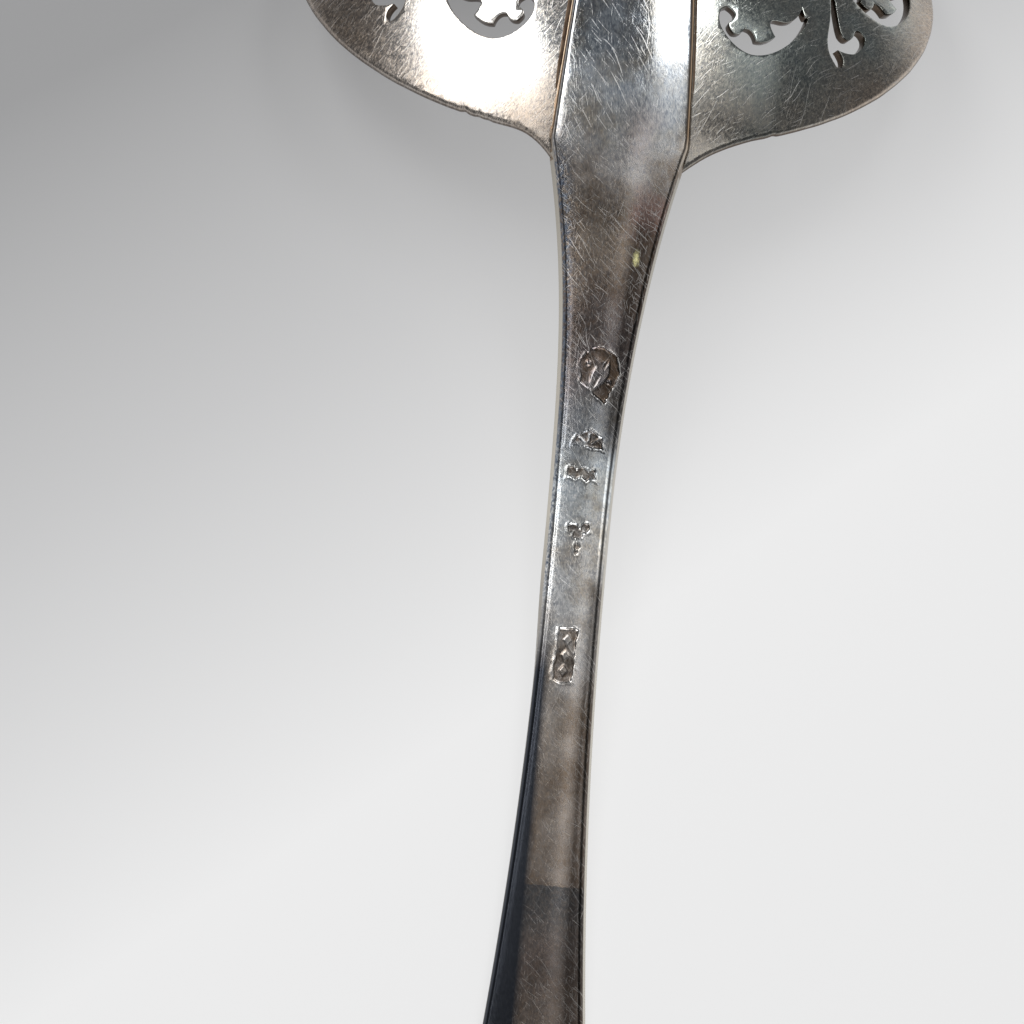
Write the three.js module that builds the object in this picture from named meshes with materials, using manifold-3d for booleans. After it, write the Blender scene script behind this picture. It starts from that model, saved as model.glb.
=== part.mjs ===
// Sifter spoon: a raised and pierced oval bowl, hard-soldered to a long forged handle.
// The pieces are drawn in the bowl's own frame, in millimetres: X across the bowl, Y along the
// spoon from the handle (-Y) to the bowl's tip (+Y), Z out of the bowl's back, rim at Z = 0.
// The whole spoon is then laid face down, so that the tip of the rim and the end of the handle
// touch the ground at Z = 0.

import * as THREE from 'three';
import { mergeVertices } from 'three/addons/utils/BufferGeometryUtils.js';
import Module from 'manifold-3d';

// Bowl
const bowlWidth = 80;
const bowlLength = 68;
const bowlDepth = 15.5;
const sheetThickness = 1.2;
const spurLength = 2.8;          // the sheet runs out this far under the handle
const spurInset = 1.2;           // and is this much narrower on each side
const leftFillet = 6.4;          // concave run from the spur back into the rim
const rightFillet = 11;
const filletCurve = 2.4;         // how hollow those runs are, as a power
const patternWidth = 80;         // the bowl on which the piercings are drawn
const patternLength = 68;

// Solder between the bowl and the handle's tongue
const clearance = 0.3;           // between any two pieces
const solderThickness = 0.3;
const solderReach = 0.45;        // width of the seam that shows around the tongue

// Tongue: the part of the handle that lies on the bowl's back
const tongueReach = 37;          // from the heel of the bowl towards its middle
const tongueThickness = 1.2;
const tongueTipThickness = 0.8;
const tongueTipWidth = 10.6;
const tongueTipRound = 6;        // length of the rounded end

// Stem and end of the handle
const stemLength = 128;
const stemBend = 1.5;            // how soon the stem levels off, as a power
const heelWidth = 15.6;
const heelTaper = 2.4;           // how soon the heel narrows, as a power
const neckDistance = 51;
const neckWidth = 6.4;
const neckThickness = 3.0;
const endWidth = 17.5;
const endTaper = 2.1;            // how late the end widens, as a power
const endRound = 9;              // length of the rounded end
const endThickness = 2.2;
const endSlope = 14;             // degrees below the rim's plane
const edgeChamfer = 0.7;         // across the back, along both edges
const edgeDrop = 0.4;            // down the sides
const sideFlare = 0.35;          // the front is wider by this much on each side
const frontChamfer = 0.35;
const handleOffset = 1.1;        // the hand-set handle sits a little to one side at the heel
const handleSkew = 1.0;          // degrees out of line with the bowl
const wornDepth = 0.12;          // worn off where the handle's end lies on the table

// Fineness of the faceted surfaces
const bowlSides = 64;
const bowlRings = 9;
const rimSteps = 120;
const tongueSteps = 10;
const stemSteps = 30;
const endSteps = 6;
const curveSteps = 3;

const wasm = await Module();
wasm.setup();

const halfWidth = bowlWidth / 2;
const halfLength = bowlLength / 2;
const solderTop = clearance + solderThickness;
const tongueUnderside = solderTop + clearance;
const heelThickness = tongueUnderside + tongueThickness + sheetThickness;
const heelSlope = Math.atan(2 * bowlDepth / halfLength);
const tipSlope = THREE.MathUtils.degToRad(endSlope);
const skewSlope = Math.tan(THREE.MathUtils.degToRad(handleSkew));

const silver = { color: 0xb4b1aa, metalness: 1, roughness: 0.3 };
const bowlMaterial = new THREE.MeshStandardMaterial(silver);
const handleMaterial = new THREE.MeshStandardMaterial({ ...silver, color: 0xa9a7a2 });
const solderMaterial = new THREE.MeshStandardMaterial({ color: 0x86694a, metalness: 1, roughness: 0.5 });

// A closed mesh as a solid that can be cut, and the way back
function toSolid(geometry) {
  const bare = geometry.clone();
  bare.deleteAttribute('normal');
  bare.deleteAttribute('uv');
  const merged = mergeVertices(bare, 1e-5);
  return new wasm.Manifold(new wasm.Mesh({
    numProp: 3,
    vertProperties: new Float32Array(merged.attributes.position.array),
    triVerts: new Uint32Array(merged.index.array),
  }));
}

function toGeometry(solid) {
  const mesh = solid.getMesh();
  const geometry = new THREE.BufferGeometry();
  geometry.setAttribute('position', new THREE.BufferAttribute(new Float32Array(mesh.vertProperties), 3));
  geometry.setIndex(new THREE.BufferAttribute(new Uint32Array(mesh.triVerts), 1));
  geometry.computeVertexNormals();
  return geometry;
}

// The bowl's back is a shallow dome, and heights above it are measured along its normal
function backNormal(x, y) {
  const slopeX = 2 * bowlDepth * x / halfWidth ** 2;
  const slopeY = 2 * bowlDepth * y / halfLength ** 2;
  return new THREE.Vector3(slopeX, slopeY, 1).normalize();
}

function aboveBack(x, y, height) {
  const z = bowlDepth * (1 - (x / halfWidth) ** 2 - (y / halfLength) ** 2);
  return new THREE.Vector3(x, y, z).addScaledVector(backNormal(x, y), height);
}

// Solid layer between two heights, out to a share of the rim's size
function domeLayer(low, high, spread) {
  const positions = [];
  const indices = [];
  const addPoint = (point) => positions.push(point.x, point.y, point.z) / 3 - 1;
  const surface = (height) => {
    const rings = [];
    for (let ring = 1; ring <= bowlRings; ring++) {
      const share = spread * ring / bowlRings;
      const row = [];
      for (let side = 0; side < bowlSides; side++) {
        const angle = 2 * Math.PI * side / bowlSides;
        const x = halfWidth * share * Math.cos(angle);
        const y = halfLength * share * Math.sin(angle);
        row.push(addPoint(aboveBack(x, y, height)));
      }
      rings.push(row);
    }
    return { pole: addPoint(aboveBack(0, 0, height)), rings };
  };
  const addQuad = (a, b, c, d) => indices.push(a, b, c, a, c, d);
  const top = surface(high);
  const bottom = surface(low);
  const last = bowlRings - 1;
  for (let side = 0; side < bowlSides; side++) {
    const next = (side + 1) % bowlSides;
    indices.push(top.pole, top.rings[0][side], top.rings[0][next]);
    indices.push(bottom.pole, bottom.rings[0][next], bottom.rings[0][side]);
    for (let ring = 0; ring < last; ring++) {
      const [topIn, topOut] = [top.rings[ring], top.rings[ring + 1]];
      const [lowIn, lowOut] = [bottom.rings[ring], bottom.rings[ring + 1]];
      addQuad(topIn[side], topOut[side], topOut[next], topIn[next]);
      addQuad(lowIn[side], lowIn[next], lowOut[next], lowOut[side]);
    }
    const [topRim, lowRim] = [top.rings[last], bottom.rings[last]];
    addQuad(topRim[side], lowRim[side], lowRim[next], topRim[next]);
  }
  const geometry = new THREE.BufferGeometry();
  geometry.setAttribute('position', new THREE.Float32BufferAttribute(positions, 3));
  geometry.setIndex(indices);
  return toSolid(geometry);
}

// Prism with walls square to the bowl's sheet, from an outline seen along the bowl's axis
function sheetPrism(points, reach) {
  const prism = new THREE.ExtrudeGeometry(new THREE.Shape(points), { depth: 2 * reach, bevelEnabled: false });
  const position = prism.attributes.position;
  for (let index = 0; index < position.count; index++) {
    const height = position.getZ(index) - reach;
    const point = aboveBack(position.getX(index), position.getY(index), height);
    position.setXYZ(index, point.x, point.y, point.z);
  }
  return toSolid(prism);
}

// Widths and depths along the handle, by the distance from the bowl's heel
function handleCentre(y) {
  return handleOffset + skewSlope * (y + halfLength);
}

function rounded(width, left, round) {
  return left < round ? width * Math.sqrt(1 - (1 - left / round) ** 2) : width;
}

function tongueWidth(distance) {
  const width = THREE.MathUtils.lerp(heelWidth, tongueTipWidth, distance / tongueReach);
  return rounded(width, tongueReach - distance, tongueTipRound);
}

function stemWidth(distance) {
  if (distance < neckDistance) {
    return neckWidth + (heelWidth - neckWidth) * (1 - distance / neckDistance) ** heelTaper;
  }
  const share = (distance - neckDistance) / (stemLength - neckDistance);
  const width = neckWidth + (endWidth - neckWidth) * share ** endTaper;
  return rounded(width, stemLength - distance, endRound);
}

function stemDepth(distance) {
  if (distance < neckDistance) {
    return THREE.MathUtils.lerp(heelThickness, neckThickness, distance / neckDistance);
  }
  const share = (distance - neckDistance) / (stemLength - neckDistance);
  return THREE.MathUtils.lerp(neckThickness, endThickness, share);
}

// Outline of the bowl's rim, grown by a margin, with the spur under the handle
function rimOutline(margin) {
  const points = [];
  for (let step = 0; step < rimSteps; step++) {
    const angle = 2 * Math.PI * step / rimSteps;
    const x = (halfWidth + margin) * Math.cos(angle);
    const y = (halfLength + margin) * Math.sin(angle);
    const aside = Math.abs(x - handleOffset) - heelWidth / 2 + spurInset - margin;
    const fillet = x < handleOffset ? leftFillet : rightFillet;
    const run = THREE.MathUtils.clamp(1 - aside / fillet, 0, 1);
    const spur = y < 0 ? spurLength * run ** filletCurve : 0;
    points.push(new THREE.Vector2(x, y - spur));
  }
  return points;
}

function tongueOutline(margin) {
  const heel = -halfLength - spurLength - margin;
  const right = [];
  const left = [];
  const addPair = (y, width) => {
    right.push(new THREE.Vector2(handleCentre(y) + width / 2 + margin, y));
    left.unshift(new THREE.Vector2(handleCentre(y) - width / 2 - margin, y));
  };
  addPair(heel, stemWidth(-halfLength - heel));
  for (let step = 0; step <= tongueSteps; step++) {
    const distance = (tongueReach - tongueTipRound) * step / tongueSteps;
    addPair(distance - halfLength, tongueWidth(distance));
  }
  for (let step = 1; step <= endSteps; step++) {
    const angle = Math.PI / 2 * step / (endSteps + 1);
    const distance = tongueReach - tongueTipRound * (1 - Math.sin(angle));
    addPair(distance - halfLength + margin * Math.sin(angle), tongueWidth(distance));
  }
  const tip = tongueReach - halfLength + margin;
  return [...right, new THREE.Vector2(handleCentre(tip), tip), ...left];
}

// Piercings, each drawn about its own middle for the right of the heel
function scrollPiercing() {
  const path = new THREE.Path();
  path.moveTo(-3.7, 0.2);
  path.bezierCurveTo(-4.6, -0.1, -5.0, -1.3, -4.2, -2.4);
  path.bezierCurveTo(-3.2, -3.6, -1.9, -4.1, -0.8, -4.1);
  path.bezierCurveTo(1.8, -4.0, 5.2, -0.9, 6.1, 2.6);
  path.quadraticCurveTo(5.7, 2.1, 5.3, 3.4);
  path.quadraticCurveTo(4.6, 0.9, 2.6, 0.7);
  path.quadraticCurveTo(0.6, 0.4, 2.2, -1.3);
  path.quadraticCurveTo(1.0, -2.5, -0.1, -2.5);
  path.quadraticCurveTo(-0.5, -1.3, -1.5, -1.6);
  path.quadraticCurveTo(-2.0, -2.6, -2.9, -2.5);
  path.quadraticCurveTo(-4.0, -1.8, -3.1, -1.2);
  path.quadraticCurveTo(-2.2, -0.2, -3.7, 0.2);
  return path;
}

function flamePiercing() {
  const path = new THREE.Path();
  path.moveTo(-2.6, 10.8);
  path.bezierCurveTo(-0.9, 7.0, -0.9, 3.6, -1.2, 1.6);
  path.bezierCurveTo(-1.5, -0.4, -1.2, -1.2, -0.4, -1.9);
  path.quadraticCurveTo(0.2, -2.6, 0.7, -1.8);
  path.quadraticCurveTo(1.0, -0.9, 0.0, -0.3);
  path.quadraticCurveTo(1.3, -0.2, 2.2, 0.4);
  path.bezierCurveTo(3.1, 1.3, 4.2, 3.2, 3.0, 3.5);
  path.quadraticCurveTo(2.1, 3.6, 2.0, 2.4);
  path.quadraticCurveTo(1.3, 1.0, 0.4, 1.8);
  path.bezierCurveTo(-0.5, 3.4, -0.2, 7.0, -2.6, 10.8);
  return path;
}

function dropPiercing(length, width) {
  const path = new THREE.Path();
  path.moveTo(0, 0);
  path.bezierCurveTo(width * 0.3, length * 0.3, width * 0.8, length, 0, length);
  path.bezierCurveTo(-width * 0.8, length, -width * 0.3, length * 0.3, 0, 0);
  return path;
}

function dotPiercing(radius) {
  const path = new THREE.Path();
  path.absarc(0, 0, radius, 0, 2 * Math.PI, false);
  return path;
}

// The pattern: a path, its place on the bowl, its turn in degrees, and whether it is turned over
const piercings = [
  { path: scrollPiercing(), x: 16.0, y: -19.0, turn: 0, mirror: false },
  { path: scrollPiercing(), x: -14.5, y: -20.1, turn: 0, mirror: true },
  { path: flamePiercing(), x: 26.0, y: -18.0, turn: 0, mirror: false },
  { path: flamePiercing(), x: -26.2, y: -17.4, turn: 0, mirror: true },
  { path: scrollPiercing(), x: 31.4, y: -7.2, turn: 24, mirror: false },
  { path: scrollPiercing(), x: -31.4, y: -7.4, turn: -24, mirror: true },
  { path: scrollPiercing(), x: 15.5, y: 19.4, turn: 180, mirror: true },
  { path: scrollPiercing(), x: -15.5, y: 19.4, turn: 180, mirror: false },
  { path: flamePiercing(), x: 25.8, y: 18.0, turn: 180, mirror: true },
  { path: flamePiercing(), x: -25.8, y: 18.0, turn: 180, mirror: false },
  { path: scrollPiercing(), x: 31.4, y: 7.2, turn: 156, mirror: true },
  { path: scrollPiercing(), x: -31.4, y: 7.2, turn: -156, mirror: false },
];

function fanOfDrops(count, step, x, y, hub, length, width) {
  for (let drop = 0; drop < count; drop++) {
    const turn = step * (drop - (count - 1) / 2);
    const angle = THREE.MathUtils.degToRad(turn);
    piercings.push({
      path: dropPiercing(length, width),
      x: x - hub * Math.sin(angle),
      y: y + hub * Math.cos(angle),
      turn,
      mirror: false,
    });
  }
}

fanOfDrops(5, 34, 0, 12.6, 3.2, 6.2, 3);
for (const side of [1, -1]) {
  fanOfDrops(6, 60, side * 15.6, 0, 1.6, 3.8, 2.4);
  piercings.push({ path: dotPiercing(0.8), x: side * 15.6, y: 0, turn: 0, mirror: false });
  piercings.push({ path: dotPiercing(0.9), x: side * 23.2, y: 0, turn: 0, mirror: false });
  piercings.push({ path: dotPiercing(0.9), x: side * 6.4, y: 27.0, turn: 0, mirror: false });
  piercings.push({ path: dropPiercing(5.4, 2.4), x: side * 9.6, y: 7.6, turn: side * -38, mirror: false });
  piercings.push({ path: dropPiercing(5.4, 2.4), x: side * 10.4, y: -8.6, turn: side * -138, mirror: false });
}

function piercingOutline({ path, x, y, turn, mirror }) {
  const place = new THREE.Vector2(x, y);
  const stretch = new THREE.Vector2(bowlWidth / patternWidth, bowlLength / patternLength);
  const origin = new THREE.Vector2();
  const points = path.getPoints(curveSteps);
  return points.map((point) => {
    const placed = new THREE.Vector2(mirror ? -point.x : point.x, point.y);
    return placed.rotateAround(origin, THREE.MathUtils.degToRad(turn)).add(place).multiply(stretch);
  });
}

// Bowl
const trimReach = 24;
const trimSpread = 1.2;
let bowlSolid = domeLayer(-sheetThickness, 0, trimSpread).intersect(sheetPrism(rimOutline(0), trimReach));
for (const piercing of piercings) {
  bowlSolid = bowlSolid.subtract(sheetPrism(piercingOutline(piercing), 2 * sheetThickness));
}

// Handle: stations from the tongue's tip to the stem's end, each with the middle of its back,
// the slope there, its width and its depth
const stations = [];
function addTongueStation(distance) {
  const y = distance - halfLength;
  const thickness = THREE.MathUtils.lerp(tongueThickness, tongueTipThickness, distance / tongueReach);
  const back = aboveBack(handleCentre(y), y, tongueUnderside + thickness);
  const slope = -Math.atan(2 * bowlDepth * y / halfLength ** 2);
  const depth = tongueUnderside + thickness + sheetThickness;
  stations.push({ back, slope, width: tongueWidth(distance), depth });
}

const tipWidth = 0.6;
addTongueStation(tongueReach);
for (let step = endSteps; step > 0; step--) {
  const angle = Math.PI / 2 * step / (endSteps + 1);
  addTongueStation(tongueReach - tongueTipRound * (1 - Math.sin(angle)));
}
for (let step = tongueSteps; step >= 0; step--) {
  addTongueStation((tongueReach - tongueTipRound) * step / tongueSteps);
}

const heelBack = stations[stations.length - 1].back;
const fineSteps = 1024;
const fineStep = stemLength / fineSteps;
const stemLine = [{ y: heelBack.y, z: heelBack.z, slope: heelSlope }];
for (let step = 1; step <= fineSteps; step++) {
  const before = stemLine[step - 1];
  const slope = tipSlope + (heelSlope - tipSlope) * (1 - step / fineSteps) ** stemBend;
  const y = before.y - fineStep * Math.cos(slope);
  stemLine.push({ y, z: before.z - fineStep * Math.sin(slope), slope });
}

function addStemStation(distance) {
  const { y, z, slope } = stemLine[Math.round(distance / fineStep)];
  const back = new THREE.Vector3(handleCentre(y), y, z);
  stations.push({ back, slope, width: stemWidth(distance), depth: stemDepth(distance) });
}

for (let step = 1; step <= stemSteps; step++) {
  addStemStation((stemLength - endRound) * step / stemSteps);
}
for (let step = 1; step <= endSteps; step++) {
  addStemStation(stemLength - endRound * (1 - Math.sin(Math.PI / 2 * step / (endSteps + 1))));
}
addStemStation(stemLength);

// Cross-section: softened edges at the back, sides that flare a little towards the front
function sectionPoints({ back, slope, width, depth }) {
  const half = Math.max(width, tipWidth) / 2;
  const flare = Math.min(sideFlare, half / 4);
  const chamfer = Math.min(edgeChamfer, half / 2);
  const front = Math.min(frontChamfer, half / 2);
  const corners = [
    [half - flare - chamfer, 0],
    [-half + flare + chamfer, 0],
    [-half + flare, edgeDrop],
    [-half, depth - front],
    [-half + front, depth],
    [half - front, depth],
    [half, depth - front],
    [half - flare, edgeDrop],
  ];
  return corners.map(([aside, down]) => new THREE.Vector3(
    back.x + aside,
    back.y + down * Math.sin(slope),
    back.z - down * Math.cos(slope),
  ));
}

// The spoon is tilted until the tip of its rim and the handle's end lie on the ground
const sections = stations.map(sectionPoints);
const bowlGeometry = toGeometry(bowlSolid);
const bowlCorners = bowlGeometry.attributes.position;
const bowlPoints = [];
for (let index = 0; index < bowlCorners.count; index++) {
  bowlPoints.push(new THREE.Vector3().fromBufferAttribute(bowlCorners, index));
}
const heightAt = (point, tilt) => point.z * Math.cos(tilt) - point.y * Math.sin(tilt);
const lowest = (points, tilt) => Math.min(...points.map((point) => heightAt(point, tilt)));
let lowTilt = 0;
let highTilt = Math.PI / 3;
while (highTilt - lowTilt > 1e-9) {
  const tilt = (lowTilt + highTilt) / 2;
  if (lowest(sections.flat(), tilt) + wornDepth < lowest(bowlPoints, tilt)) {
    lowTilt = tilt;
  } else {
    highTilt = tilt;
  }
}
const restTilt = lowTilt;
const ground = lowest(bowlPoints, restTilt);

// What reaches below the ground is worn away to a small flat
for (const point of sections.flat()) {
  const missing = ground - heightAt(point, restTilt);
  if (missing > 0) {
    point.z += missing * Math.cos(restTilt);
    point.y -= missing * Math.sin(restTilt);
  }
}

function loft(rings) {
  const count = rings[0].length;
  const positions = rings.flat().flatMap((point) => [point.x, point.y, point.z]);
  const indices = [];
  for (let ring = 0; ring < rings.length - 1; ring++) {
    for (let corner = 0; corner < count; corner++) {
      const here = ring * count + corner;
      const beside = ring * count + (corner + 1) % count;
      indices.push(here, beside, beside + count, here, beside + count, here + count);
    }
  }
  const last = (rings.length - 1) * count;
  for (let corner = 1; corner < count - 1; corner++) {
    indices.push(0, corner + 1, corner);
    indices.push(last, last + corner, last + corner + 1);
  }
  const geometry = new THREE.BufferGeometry();
  geometry.setAttribute('position', new THREE.Float32BufferAttribute(positions, 3));
  geometry.setIndex(indices);
  return toSolid(geometry);
}

const seatDepth = 6;
const seat = domeLayer(-seatDepth, tongueUnderside, trimSpread).intersect(sheetPrism(rimOutline(clearance), trimReach));
const handleSolid = loft(sections).subtract(seat);

// Solder: a thin layer under the tongue, which shows as a narrow seam around it
const solderSolid = domeLayer(clearance, solderTop, trimSpread)
  .intersect(sheetPrism(tongueOutline(solderReach), 2 * heelThickness))
  .intersect(sheetPrism(rimOutline(0), trimReach));

// Assembly
const spoon = new THREE.Group();
const pieces = [
  ['bowl', bowlGeometry, bowlMaterial],
  ['handle', toGeometry(handleSolid), handleMaterial],
  ['solder_joint', toGeometry(solderSolid), solderMaterial],
];
for (const [name, geometry, material] of pieces) {
  const mesh = new THREE.Mesh(geometry, material);
  mesh.name = name;
  spoon.add(mesh);
}

// Laid on the ground, with the middle of its length and width over the origin
spoon.rotation.x = -restTilt;
spoon.updateMatrixWorld(true);
const extent = new THREE.Box3().setFromObject(spoon, true);
const middle = extent.getCenter(new THREE.Vector3());
spoon.position.set(-middle.x, -middle.y, -ground);

const model = new THREE.Group();
model.add(spoon);

export default model;
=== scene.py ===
import math

import bmesh
import bpy
from mathutils import Matrix, Vector, kdtree, noise


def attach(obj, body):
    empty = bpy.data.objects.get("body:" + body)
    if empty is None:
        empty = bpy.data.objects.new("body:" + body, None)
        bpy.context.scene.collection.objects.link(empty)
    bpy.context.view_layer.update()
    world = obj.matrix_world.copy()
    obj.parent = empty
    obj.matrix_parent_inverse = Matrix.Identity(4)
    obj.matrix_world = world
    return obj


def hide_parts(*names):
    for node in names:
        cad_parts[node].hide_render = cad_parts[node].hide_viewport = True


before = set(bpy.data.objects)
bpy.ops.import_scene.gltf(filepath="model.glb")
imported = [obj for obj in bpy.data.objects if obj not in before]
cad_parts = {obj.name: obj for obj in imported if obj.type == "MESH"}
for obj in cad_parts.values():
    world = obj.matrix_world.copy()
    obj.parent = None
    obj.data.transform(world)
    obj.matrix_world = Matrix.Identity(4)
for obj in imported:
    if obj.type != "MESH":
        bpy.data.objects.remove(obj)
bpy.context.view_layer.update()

# An old silver sifter spoon, lying face down: a pierced bowl, a long handle whose tongue is
# soldered to the bowl's back, and the solder. Every piece is drawn in the bowl's own frame in
# millimetres, X across, Y towards the bowl's tip, Z out of its back, and then laid on the ground.

mergeDistance = 0.0005
facing = {"wall": 0.1, "top": 0.9, "flat": 0.99}  # a normal's height, which tells such faces

restSizes = {
    "tilt": 16.71169,  # degrees that the bowl's rim leans on the ground
    "shift": (0, 63.11497, 10.42184),
}

bowlSizes = {
    "width": 80,
    "length": 68,
    "depth": 15.5,
    "sheet": 1.2,
    "spur": 2.8,  # runs out under the handle
    "spurInset": 1.2,
    "leftFillet": 6.4,
    "rightFillet": 11,
    "filletCurve": 2.4,
    "rimSteps": 420,
    "rimRound": (0.5, 5),  # width and segments
    "holeRound": (0.11, 2),
    "crease": 35,  # degrees, past which an edge stays sharp
    "cell": 0.8,  # of the grid that carries the dome
    "unevenness": 0.03,  # left by the hammer
    "hammerBlow": 9,
    "rimWear": (0.035, 0.4, 0.45),  # how deep, its level, and how often it changes
    "heelUnworn": 1.5,  # past each side of the handle
    "nicks": (  # x, depth, half width
        (-16.8, 0.13, 0.5), (-15.2, 0.09, 0.4), (-14.3, 0.12, 0.45), (18.9, 0.12, 0.7),
    ),
    "nickFloor": 0.2,  # share of a nick's half width at its full depth
}

handleSizes = {
    "tongue": 37,
    "tongueThickness": (1.2, 0.8),  # at the heel, at the tip
    "tongueTipWidth": 10.6,
    "tongueRound": 6,
    "lift": 0.9,  # of the tongue's thickness over the bowl's back
    "stem": 128,
    "stemBend": 1.5,
    "endSlope": 14,
    "heelWidth": 15.6,
    "heelTaper": 2.85,
    "neck": 51,
    "neckWidth": 6.4,
    "neckThickness": 3.0,
    "endWidth": 17.5,
    "endTaper": 2.1,
    "endRound": 9,
    "endThickness": 2.2,
    "crown": (0.46, 0.24, 0.4),  # how far the back's edges fall: heel, neck, end
    "offset": 1.1,
    "skew": 1.0,
    "drift": (0.27, 10, 34),  # the stem's middle leans aside, and the lengths between which it comes in
    "flare": 0.35,
    "leftPlain": (48, 62),  # the left side loses its flare between these lengths
    "backEdge": ((0.64, 0), (0.44, 0.05), (0.27, 0.14), (0.1, 0.32), (0, 0.56)),  # inset, fall
    "frontEdge": ((0, 0.5), (0.06, 0.24), (0.2, 0.07), (0.42, 0)),  # inset, rise
    "backColumns": 16,
    "frontColumns": 10,
    "step": 0.8,
    "roundSteps": 14,
    "seatGap": 0.02,  # round the bowl's outline, where the handle is cut to sit on it
    "seatDepth": 6,
    "seatRise": 0.01,
    "seatCell": 2,
    "crease": 40,
    "unevenness": 0.012,
    "hammerBlow": 7,
}

solderSizes = {
    "reach": 0.5,
    "layer": 0.3,
    "base": 0.005,  # over the bowl's back
    "foot": 0.08,
    "short": 0.3,  # of the spur's end
    "tuck": 0.4,  # under the handle, at the heel
    "taper": (-7, 1.4),  # along, where the seam thins out towards the heel
    "rise": ((0.13, 0.05), (0.13, 0.12), (0.1, 0.22), (0.1, -0.17)),  # inset and lift of its fillet
    "cell": 1.6,
    "crease": 50,
    "sideSteps": 70,
    "tipSteps": 24,
}


# Shapes that the pieces share
def domePoint(x, y, height):
    halfWidth, halfLength, depth = bowlSizes["width"] / 2, bowlSizes["length"] / 2, bowlSizes["depth"]
    normal = Vector((2 * depth * x / halfWidth**2, 2 * depth * y / halfLength**2, 1)).normalized()
    top = depth * (1 - (x / halfWidth) ** 2 - (y / halfLength) ** 2)
    return Vector((x, y, top)) + normal * height


def blend(low, high, share):
    return low + (high - low) * share


def ease(low, high, value):
    share = min(1, max(0, (value - low) / (high - low)))
    return share * share * (3 - 2 * share)


def rimOutline(margin):
    points = []
    for step in range(bowlSizes["rimSteps"]):
        angle = 2 * math.pi * step / bowlSizes["rimSteps"]
        x = (bowlSizes["width"] / 2 + margin) * math.cos(angle)
        y = (bowlSizes["length"] / 2 + margin) * math.sin(angle)
        centre = handleSizes["offset"]
        aside = abs(x - centre) - handleSizes["heelWidth"] / 2 + bowlSizes["spurInset"] - margin
        fillet = bowlSizes["leftFillet"] if x < centre else bowlSizes["rightFillet"]
        run = min(1, max(0, 1 - aside / fillet))
        spur = bowlSizes["spur"] * run ** bowlSizes["filletCurve"] if y < 0 else 0
        points.append((x, y - spur))
    return points


def wornRim():
    # the rim as use has left it: a little wavy, with nicks near the handle
    wear, level, often = bowlSizes["rimWear"]
    heelHalf = handleSizes["heelWidth"] / 2 + bowlSizes["heelUnworn"]
    points = []
    for x, y in rimOutline(0):
        inwards = -Vector((x / bowlSizes["width"] ** 2, y / bowlSizes["length"] ** 2)).normalized()
        loss = wear * max(0, level + noise.noise(Vector((x, y, 0)) * often))
        if y < 0:
            for middle, depth, half in bowlSizes["nicks"]:
                loss += depth * (1 - ease(bowlSizes["nickFloor"] * half, half, abs(x - middle)))
            if abs(x - handleSizes["offset"]) < heelHalf:
                loss = 0
        points.append((x + inwards.x * loss, y + inwards.y * loss))
    return points


# Work in edit mode
def selectOnly(piece):
    if bpy.context.mode != "OBJECT":
        bpy.ops.object.mode_set(mode="OBJECT")
    bpy.ops.object.select_all(action="DESELECT")
    piece.select_set(True)
    bpy.context.view_layer.objects.active = piece


def editAll(piece):
    selectOnly(piece)
    bpy.ops.object.mode_set(mode="EDIT")
    bpy.ops.mesh.select_all(action="SELECT")


def cutOut(name, points, low, high):
    # a plate of the given outline between two heights
    bpy.ops.object.select_all(action="DESELECT")
    bpy.ops.mesh.primitive_circle_add(vertices=len(points), radius=1, fill_type="NGON")
    plate = bpy.context.object
    plate.name = name
    for vertex, (x, y) in zip(plate.data.vertices, points):
        vertex.co = (x, y, low)
    editAll(plate)
    bpy.ops.mesh.extrude_region_move(TRANSFORM_OT_translate={"value": (0, 0, high - low)})
    bpy.ops.mesh.select_all(action="SELECT")
    bpy.ops.mesh.normals_make_consistent(inside=False)
    bpy.ops.object.mode_set(mode="OBJECT")
    return plate


def selectWhere(piece, kind, wanted):
    # leaves the piece in edit mode, with its wanted faces or edges selected
    editAll(piece)
    bpy.ops.mesh.select_mode(type=kind)
    bpy.ops.mesh.select_all(action="DESELECT")
    mesh = bmesh.from_edit_mesh(piece.data)
    for part in mesh.faces if kind == "FACE" else mesh.edges:
        if wanted(part):
            part.select_set(True)
    bmesh.update_edit_mesh(piece.data)


def isBrim(edge):
    # whether it lies between a flat face and a wall
    upright = sorted(abs(face.normal.z) for face in edge.link_faces)
    return len(upright) == 2 and upright[0] < facing["wall"] and upright[1] > facing["flat"]


def roundBrims(piece, width, segments):
    selectWhere(piece, "EDGE", isBrim)
    bpy.ops.mesh.bevel(
        offset=width, segments=segments, affect="EDGES", clamp_overlap=False, loop_slide=False,
    )
    bpy.ops.object.mode_set(mode="OBJECT")


def cutGrid(piece, cell):
    # lays a grid of cuts through the piece, so that it can follow the dome
    low = [min(vertex.co[axis] for vertex in piece.data.vertices) for axis in (0, 1)]
    high = [max(vertex.co[axis] for vertex in piece.data.vertices) for axis in (0, 1)]
    editAll(piece)
    for axis in (0, 1):
        normal = (1, 0, 0) if axis == 0 else (0, 1, 0)
        for line in range(math.ceil(low[axis] / cell), math.floor(high[axis] / cell) + 1):
            place = [0, 0, 0]
            place[axis] = line * cell
            bpy.ops.mesh.select_all(action="SELECT")
            bpy.ops.mesh.bisect(plane_co=place, plane_no=normal, threshold=mergeDistance)
    bpy.ops.object.mode_set(mode="OBJECT")


def cutAway(piece, cutter):
    selectOnly(piece)
    cut = piece.modifiers.new("cut", "BOOLEAN")
    cut.operation = "DIFFERENCE"
    cut.solver = "EXACT"
    cut.object = cutter
    bpy.ops.object.modifier_apply(modifier=cut.name)
    bpy.data.objects.remove(cutter)


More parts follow.
